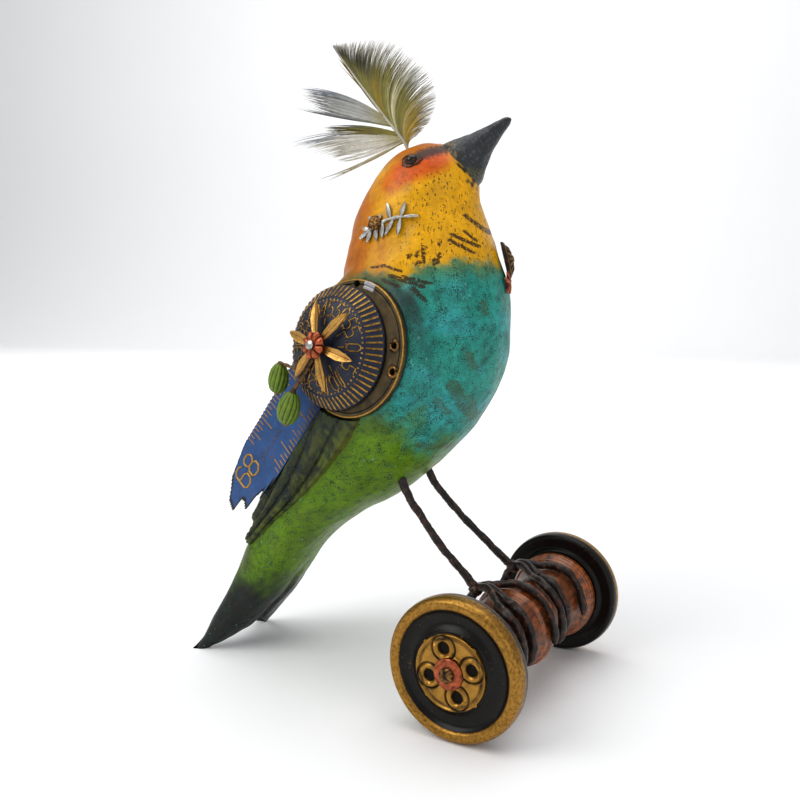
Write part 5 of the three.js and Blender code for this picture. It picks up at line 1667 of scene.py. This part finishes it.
def tape_paint():
    """Blue lacquer on spring steel: scuffed, with rust specks, and copper where the marks stand."""
    def fill(net, at):
        blue = net.mottled(at, colour(52, 88, 138), 150.0, 0.9)
        rust = net.flecked(at, blue["Colour"], colour(104, 76, 52), 1300.0, 0.42)
        burnt = net.ramp(net.plus(net.value("Shade"), net.times(net.noise(at, 700.0), 0.4)), 0.35, 0.8)
        shade = net.mix(burnt, rust["Colour"], colour(44, 40, 42))
        line = net.value("Gilt")
        shade = net.mix(net.ramp(line, 0.1, 0.4), shade, net.mix(net.ramp(line, 0.5, 0.9),
                colour(118, 84, 62),
                                                                   colour(190, 150, 78)))
        return {"Base Color": shade, "Roughness": net.ramp(blue["Value"], 0.5, 1.1, 0.34, 0.5),
                "Metallic": net.ramp(line, 0.1, 0.4, 0.25, 0.8),
                "Height": (net.noise(at, 900.0, 3.0), 0.06)}
    return finish("Blue spring steel", fill)


def pod_skin():
    """Dry green seed pods, waxy and uneven."""
    return coat("Seed pod", Net.paint, (500.0, 0.7), (0.38, 0.58), relief=(1400.0, 3.0, 0.12),
                Coat_Weight=0.1,
                Coat_Roughness=0.4)


def bark():
    """Thin dry bark in browns."""
    return coat("Twig bark", between((104, 78, 44), (62, 44, 26)), (900.0, 0.9), (0.5, 0.75),
                relief=(1800.0, 3.0, 0.3))


def waxed_wire():
    """Rusty wire under dark wax: brown patches, small bright spots of wax."""
    def fill(net, at):
        base = net.mix(net.value("Shade"), colour(30, 20, 16), colour(66, 40, 28))
        rust = net.flecked(at, base, colour(110, 62, 36), 900.0, 0.45)
        even = net.mottled(at, rust["Colour"], 800.0, 0.8)
        return {"Base Color": even["Colour"], "Roughness": net.ramp(even["Value"], 0.5, 1.1, 0.24, 0.5),
                "Height": (net.noise(at, 1100.0, 4.0, 0.6), 0.2)}
    return finish("Waxed wire", fill, Coat_Weight=0.2, Coat_Roughness=0.2, Specular_IOR_Level=0.4)


def varnished_wood():
    """Old spool wood: grain along the axle, painted shade in the hollows, a clear varnish."""
    def fill(net, at):
        grain = net.noise(net.stretched(at, (1, 0.12, 1), -AXLE_YAW), 600.0, 3.0, 0.5)
        base = net.mix(net.ramp(grain, 0.35, 0.68), colour(88, 44, 18), colour(164, 92, 40))
        # Painted shade: the wood darkened in the spool's hollows.
        base = net.mix(net.times(net.value("Shade"), 0.55), base, colour(52, 27, 13))
        even = net.mottled(at, base, 160.0, 0.9)
        grime = net.flecked(at, even["Colour"], colour(34, 20, 12), 1200.0, 0.3)
        return {"Base Color": grime["Colour"], "Roughness": net.ramp(grain, 0.3, 0.7, 0.26, 0.42),
                "Height": (grain, 0.12)}
    return finish("Varnished wood", fill, Coat_Weight=0.5, Coat_Roughness=0.15)


def wheel_paint():
    """Glossy black paint on turned wood; the rim is rubbed with gilt wax that thins over the tool marks."""
    def fill(net, at):
        black = net.mottled(at, colour(24, 22, 20), 300.0, 0.9)
        dust = net.flecked(at, black["Colour"], colour(92, 70, 40), 1500.0, 0.3)
        ragged = net.noise(at, 700.0, 4.0, 0.7)
        cover = net.ramp(net.plus(net.value("Gilt"), net.times(ragged, 0.7)), 0.82, 1.12)
        wax = net.aged(at, colour(172, 130, 62), colour(84, 60, 26), 0.0, 1300.0, 0.8)
        return {"Base Color": net.mix(cover, dust["Colour"], wax["Colour"]),
                "Metallic": net.times(cover, 0.85),
                "Roughness": net.ramp(cover, 0.0, 1.0, 0.3, 0.38), "Height": (ragged, 0.06)}
    return finish("Black and gilt", fill, Coat_Weight=0.05, Coat_Roughness=0.2, Specular_IOR_Level=0.25)


def floor_paper():
    """Near-white paper, hardly uneven."""
    return coat("Floor paper", lambda net: colour(250, 250, 250), (6.0, 0.015), (0.6, 0.7),
                Specular_IOR_Level=0.15)


def once(make, *values):
    """A finish made the first time that it is asked for."""
    key = "_".join([make.__name__] + [str(v) for v in values[:1]])
    if key not in FINISHES:
        FINISHES[key] = make(*values)
    return FINISHES[key]


FINISHES = {}
SILVER = ("Silver", colour(205, 203, 196), colour(52, 48, 42))
BRONZE = ("Bronze", colour(150, 112, 66), colour(38, 26, 16))
BRASS = ("Bright brass", colour(204, 160, 90), colour(60, 42, 20), 420.0, 0.45)
# The pressed brass's near-black tarnish also paints the shade in the disc's holes.
DISC_BRASS = ("Pressed brass", colour(176, 134, 66), colour(24, 18, 10), 300.0, 0.5)
COPPER = ("Copper", colour(186, 104, 72), colour(58, 30, 20))


# --- sizes and colours a user may change


class BirdSizes(bpy.types.PropertyGroup):
    """Sizes that the CAD frame leaves free."""
    carving: FloatProperty(
        name="Carving", description="Height of the body's knife marks, in mm", default=1.0, min=0, max=3)
    wing_ridge: FloatProperty(
        name="Wing ridge", description="Height of the wing's carved feathers, in mm", default=1.5, min=0,
        max=3)
    fan_barbs: IntProperty(
        name="Fan barbs", description="Barbs in the feather's broad side", default=380, min=60, max=900)
    dial_ribs: IntProperty(
        name="Dial ribs", description="Ribs round the dial's edge", default=60, min=12, max=120)
    rib_height: FloatProperty(
        name="Rib height", description="Height of the dial's ribs, in mm", default=0.45, min=0, max=1)
    petal_droop: FloatProperty(
        name="Petal droop", description="How far the petals' tips hang down, in mm", default=1.5, min=0,
        max=2)
    toe_spread: FloatProperty(
        name="Toe spread", description="Toes' spread along the spool, against the built one", default=1.0,
        min=0.5,
        max=1.2)


def paint_property(name, description, *value):
    """A paint colour that a user may change."""
    return FloatVectorProperty(name=name, description=description, subtype="COLOR", size=3, min=0, max=1,
                               default=tuple(srgb(*value)))


class BirdColours(bpy.types.PropertyGroup):
    """Paint colours of the carved body."""
    throat: paint_property("Throat", "Yellow of the throat and cheek", 222, 164, 8)
    crown: paint_property("Crown", "Orange of the crown and nape", 178, 100, 10)
    cheek: paint_property("Cheek", "Red under the eye", 204, 78, 6)
    breast: paint_property("Breast", "Teal of the breast", 44, 148, 134)
    belly: paint_property("Belly", "Green of the belly", 98, 134, 4)
    tail: paint_property("Tail", "Near-black of the tail", 34, 34, 32)


def power_property(name, lamp, value):
    """A lamp's power that a user may change."""
    return FloatProperty(name=name, description=f"Power of the {lamp}", default=value, min=0,
            subtype="POWER",
                         unit="POWER")


class BirdStage(bpy.types.PropertyGroup):
    """Light and view."""
    key_power: power_property("Key light", "soft light at the left", 6.4)
    fill_power: power_property("Fill light", "soft light at the right", 1.6)
    top_power: power_property("Top light", "soft light above", 7.4)
    wall_power: power_property("Wall light", "light on the backdrop", 42.0)
    world: FloatProperty(
        name="Room light", description="Brightness of the pale surroundings", default=0.42, min=0)
    view_height: FloatProperty(
        name="View height", description="Height of the eye point", default=0.1141, subtype="DISTANCE",
        unit="LENGTH")
    lens: FloatProperty(
        name="Lens", description="Focal length on a 36 mm wide sensor, in mm", default=37.47, min=10)


# --- operators


class BirdPiece:
    """What every operator of this file shares."""
    bl_options = {"REGISTER", "UNDO"}

    def execute(self, context):
        self.make(context.scene.bird_sizes, context.scene.bird_colours)
        return {"FINISHED"}


class OBJECT_OT_bird_body(BirdPiece, bpy.types.Operator):
    """Carves and paints the body"""
    bl_idname = "object.bird_body"
    bl_label = "Body"

    def make(self, sizes, colours):
        build("carved_body", body_shape(sizes, colours), once(carved_paint), "body")


class OBJECT_OT_bird_wings(BirdPiece, bpy.types.Operator):
    """Carves the folded wings"""
    bl_idname = "object.bird_wings"
    bl_label = "Wings"

    def make(self, sizes, colours):
        for side, hand in SIDES:
            build("folded_wing", wing_shape(hand, sizes), once(wing_paint), "wing", side)


class OBJECT_OT_bird_face(BirdPiece, bpy.types.Operator):
    """Makes the beak and the bead eyes"""
    bl_idname = "object.bird_face"
    bl_label = "Beak and eyes"

    def make(self, sizes, colours):
        build("carved_beak", beak_shape(), once(beak_paint), "beak")
        for side, hand in SIDES:
            build("bead_eye", eye_shape(hand), once(eye_gloss), "eye", side)


class OBJECT_OT_bird_crest(BirdPiece, bpy.types.Operator):
    """Makes the crest feather barb by barb"""
    bl_idname = "object.bird_crest"
    bl_label = "Crest feather"

    def make(self, sizes, colours):
        build("feather_fan", fan_shape(sizes), once(feather_finish, "Feather vane"),
              "crest_fan")
        build("feather_tufts", down_shape(), once(feather_finish, "Feather down"),
              "crest_down")
        build("feather_shaft", quill_shape(), once(quill_horn), "crest_quill")


class OBJECT_OT_bird_cheeks(BirdPiece, bpy.types.Operator):
    """Makes the silver twigs on the cheeks and their nails"""
    bl_idname = "object.bird_cheeks"
    bl_label = "Cheek twigs"

    def make(self, sizes, colours):
        for side, hand in SIDES:
            build("silver_twig", charm_shape(hand), once(metal, *SILVER), "cheek_branch", side)
            foot, above = flat_place(np.array([[0, 0, 1.25], [0, 0, 2.0]]), hand)
            nail = nail_head(foot, unit(above - foot), 2.2, 1.1, 95)
            build("twig_nail", nail, once(metal, *BRONZE), "cheek_nail", side)


class OBJECT_OT_bird_tapes(BirdPiece, bpy.types.Operator):
    """Makes the torn rule strips"""
    bl_idname = "object.bird_tapes"
    bl_label = "Rule strips"

    def make(self, sizes, colours):
        for side, hand in SIDES:
            shape = together(tape_shape(hand), tape_marks(hand))
            build("rule_strip", shape, once(tape_paint), "tape_strip", side)


class OBJECT_OT_bird_dials(BirdPiece, bpy.types.Operator):
    """Makes the brass plates, their eyelets and the dials"""
    bl_idname = "object.bird_dials"
    bl_label = "Plates and dials"

    def make(self, sizes, colours):
        for side, hand in SIDES:
            build("brass_plate", plate_shape(hand), once(dull_brass), "dial_plate", side)
            for number, place in enumerate(EYELETS, 1):
                shape, ending = eyelet_shape(hand, place), f"{side}_{number}"
                build("rolled_eyelet", shape, once(metal, *BRONZE), "plate_eyelet", ending)
            build("ribbed_dial", dial_shape(hand, sizes), once(dial_enamel), "dial", side,
                  crisp=50)


class OBJECT_OT_bird_flowers(BirdPiece, bpy.types.Operator):
    """Makes the turning flowers, their caps and pins"""
    bl_idname = "object.bird_flowers"
    bl_label = "Flowers"

    def make(self, sizes, colours):
        for side, hand in SIDES:
            spinner = f"flower_{side}"
            build("petals", flower_shape(hand, sizes), once(metal, *BRASS), "flower", side,
                  spinner)
            build("lobed_cap", cap_shape(hand), once(metal, *COPPER), "flower_cap", side, spinner)
            build("bright_pin", pin_shape(hand), once(metal, *SILVER), "flower_pin", side)


class OBJECT_OT_bird_pods(BirdPiece, bpy.types.Operator):
    """Makes the seed pods and their twigs"""
    bl_idname = "object.bird_pods"
    bl_label = "Seed pods"

    def make(self, sizes, colours):
        for side, hand in SIDES:
            build("forked_twig", twig_shape(hand), once(bark), "pod_stem", side)
            for number in (0, 1):
                shape, ending = pod_shape(hand, number), f"{side}_{number + 1}"
                build("ribbed_pod", shape, once(pod_skin), "pod", ending)


class OBJECT_OT_bird_breast(BirdPiece, bpy.types.Operator):
    """Makes the breast button, its nail and the star"""
    bl_idname = "object.bird_breast"
    bl_label = "Breast button and star"

    def make(self, sizes, colours):
        build("pressed_button", button_shape(), once(metal, *BRONZE), "breast_button")
        foot = node_middle("breast_button") - HOME + BUTTON_OUT * 0.7
        nail = nail_head(foot, BUTTON_OUT, 1.3, 1.0, 97)
        build("button_nail", nail, once(metal, *BRONZE), "breast_nail")
        build("cast_star", star_shape(), once(metal, *COPPER), "breast_star")


class OBJECT_OT_bird_legs(BirdPiece, bpy.types.Operator):
    """Makes the waxed wire legs and feet"""
    bl_idname = "object.bird_legs"
    bl_label = "Legs and feet"

    def make(self, sizes, colours):
        for side, hand in SIDES:
            build("wire_leg", leg_shape(hand), once(waxed_wire), "leg", side)
            build("wire_foot", foot_shape(hand, sizes), once(waxed_wire), "foot", side)


class OBJECT_OT_bird_spool(BirdPiece, bpy.types.Operator):
    """Turns the thread spool"""
    bl_idname = "object.bird_spool"
    bl_label = "Spool"

    def make(self, sizes, colours):
        build("thread_spool", spool_shape(), once(varnished_wood), "spool")


class OBJECT_OT_bird_wheels(BirdPiece, bpy.types.Operator):
    """Makes the wheels, their discs, washers and nails"""
    bl_idname = "object.bird_wheels"
    bl_label = "Wheels"

    def make(self, sizes, colours):
        for side, hand in SIDES:
            wheel = f"wheel_{side}"
            brass = once(metal, *DISC_BRASS)
            build("gilt_wheel", wheel_shape(hand), once(wheel_paint), "wheel", side, wheel)
            build("pressed_disc", disc_shape(hand), brass, "wheel_disc", side, wheel)
            build("copper_washer", washer_shape(hand), once(metal, *COPPER), "wheel_washer", side)
            build("round_nail", axle_nail_shape(hand), once(metal, *BRONZE), "axle_nail", side)


def area_light(name, place, target, size, power):
    """A soft square light at a place, turned to a target, both in metres."""
    data = bpy.data.lights.new(name, "AREA")
    data.size, data.energy = size, power
    lamp = bpy.data.objects.new(name, data)
    bpy.context.scene.collection.objects.link(lamp)
    lamp.location = place
    lamp.rotation_euler = (Vector(target) - Vector(place)).to_track_quat("-Z", "Y").to_euler()


def sweep():
    """A paper floor that rises behind in a quarter circle: its profile runs level, round and up, carried
    sideways."""
    level, bend, tall, wide = 2.2, 1.2, 1.5, 4.0
    angle = np.linspace(0, pi / 2, 40)
    y = np.concatenate([[-wide], level + bend * sin(angle), [level + bend]])
    z = np.concatenate([[0], bend * (1 - cos(angle)), [bend + tall]])
    across = np.array([-wide, wide])
    shape = grid(np.stack(np.broadcast_arrays(across, y[:, None], z[:, None]), -1), wrap=False)
    mesh = bpy.data.meshes.new("paper_floor")
    mesh.from_pydata(shape["v"].tolist(), [], shape["f"].tolist())
    mesh.flip_normals()
    mesh.polygons.foreach_set("use_smooth", np.ones(len(mesh.polygons), bool))
    floor = bpy.data.objects.new("paper_floor", mesh)
    bpy.context.scene.collection.objects.link(floor)
    return floor


VIEW_PLACE = np.array([55.3, -250.8, 0])
VIEW_TURN = np.radians(20.86)
VIEW_DIP = np.radians(5.74)


class OBJECT_OT_bird_stage(bpy.types.Operator):
    """Lays the floor, hangs the lights and sets the camera"""
    bl_idname = "object.bird_stage"
    bl_label = "Stage"
    bl_options = {"REGISTER", "UNDO"}

    def execute(self, context):
        stage, scene = context.scene.bird_stage, context.scene
        floor = sweep()
        floor.data.materials.append(once(floor_paper))
        aim = (0, 0, 0.09)
        area_light("key", (-0.75, -0.75, 0.95), aim, 0.9, stage.key_power)
        area_light("fill", (0.95, -0.7, 0.5), aim, 0.9, stage.fill_power)
        area_light("top", (0.0, 0.1, 1.3), aim, 1.2, stage.top_power)
        area_light("wall", (-0.9, 0.8, 1.9), (-1.5, 3.4, 0.9), 2.8, stage.wall_power)
        world = bpy.data.worlds.new("pale_room")
        world.use_nodes = True
        background = world.node_tree.nodes["Background"]
        background.inputs["Color"].default_value = colour(246, 247, 250)
        background.inputs["Strength"].default_value = stage.world
        scene.world = world
        camera = bpy.data.objects.new("camera", bpy.data.cameras.new("camera"))
        camera.data.lens, camera.data.sensor_width = stage.lens, 36.0
        scene.collection.objects.link(camera)
        camera.location = Vector((VIEW_PLACE + HOME) * MM) + Vector((0, 0, stage.view_height))
        camera.rotation_euler = (pi / 2 - VIEW_DIP, 0, VIEW_TURN)
        scene.camera = camera
        scene.view_settings.view_transform = "Standard"
        scene.view_settings.look = "Medium High Contrast"
        return {"FINISHED"}


PIECES = (OBJECT_OT_bird_body, OBJECT_OT_bird_wings, OBJECT_OT_bird_face, OBJECT_OT_bird_crest,
          OBJECT_OT_bird_cheeks,
          OBJECT_OT_bird_tapes, OBJECT_OT_bird_dials, OBJECT_OT_bird_flowers, OBJECT_OT_bird_pods,
          OBJECT_OT_bird_breast,
          OBJECT_OT_bird_legs, OBJECT_OT_bird_spool, OBJECT_OT_bird_wheels, OBJECT_OT_bird_stage)


class VIEW3D_PT_bird(bpy.types.Panel):
    """Lists the bird's sizes, colours and pieces"""
    bl_label = "Bird on a spool"
    bl_idname = "VIEW3D_PT_bird"
    bl_space_type = "VIEW_3D"
    bl_region_type = "UI"
    bl_category = "Bird"

    def draw(self, context):
        for group in (context.scene.bird_sizes, context.scene.bird_colours, context.scene.bird_stage):
            box = self.layout.box()
            for name in group.__annotations__:
                box.prop(group, name)
        for piece in PIECES:
            self.layout.operator(piece.bl_idname)


CLASSES = (BirdSizes, BirdColours, BirdStage, *PIECES, VIEW3D_PT_bird)


def register():
    """Makes the classes known and gives the scene its settings."""
    for item in CLASSES:
        bpy.utils.register_class(item)
    bpy.types.Scene.bird_sizes = PointerProperty(type=BirdSizes)
    bpy.types.Scene.bird_colours = PointerProperty(type=BirdColours)
    bpy.types.Scene.bird_stage = PointerProperty(type=BirdStage)


def unregister():
    """Takes the settings and classes away again."""
    del bpy.types.Scene.bird_sizes, bpy.types.Scene.bird_colours, bpy.types.Scene.bird_stage
    for item in reversed(CLASSES):
        bpy.utils.unregister_class(item)


def main():
    """Makes every piece in order."""
    register()
    for piece in PIECES:
        group, name = piece.bl_idname.split(".")
        getattr(getattr(bpy.ops, group), name)()
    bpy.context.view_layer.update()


if __name__ == "__main__":
    main()
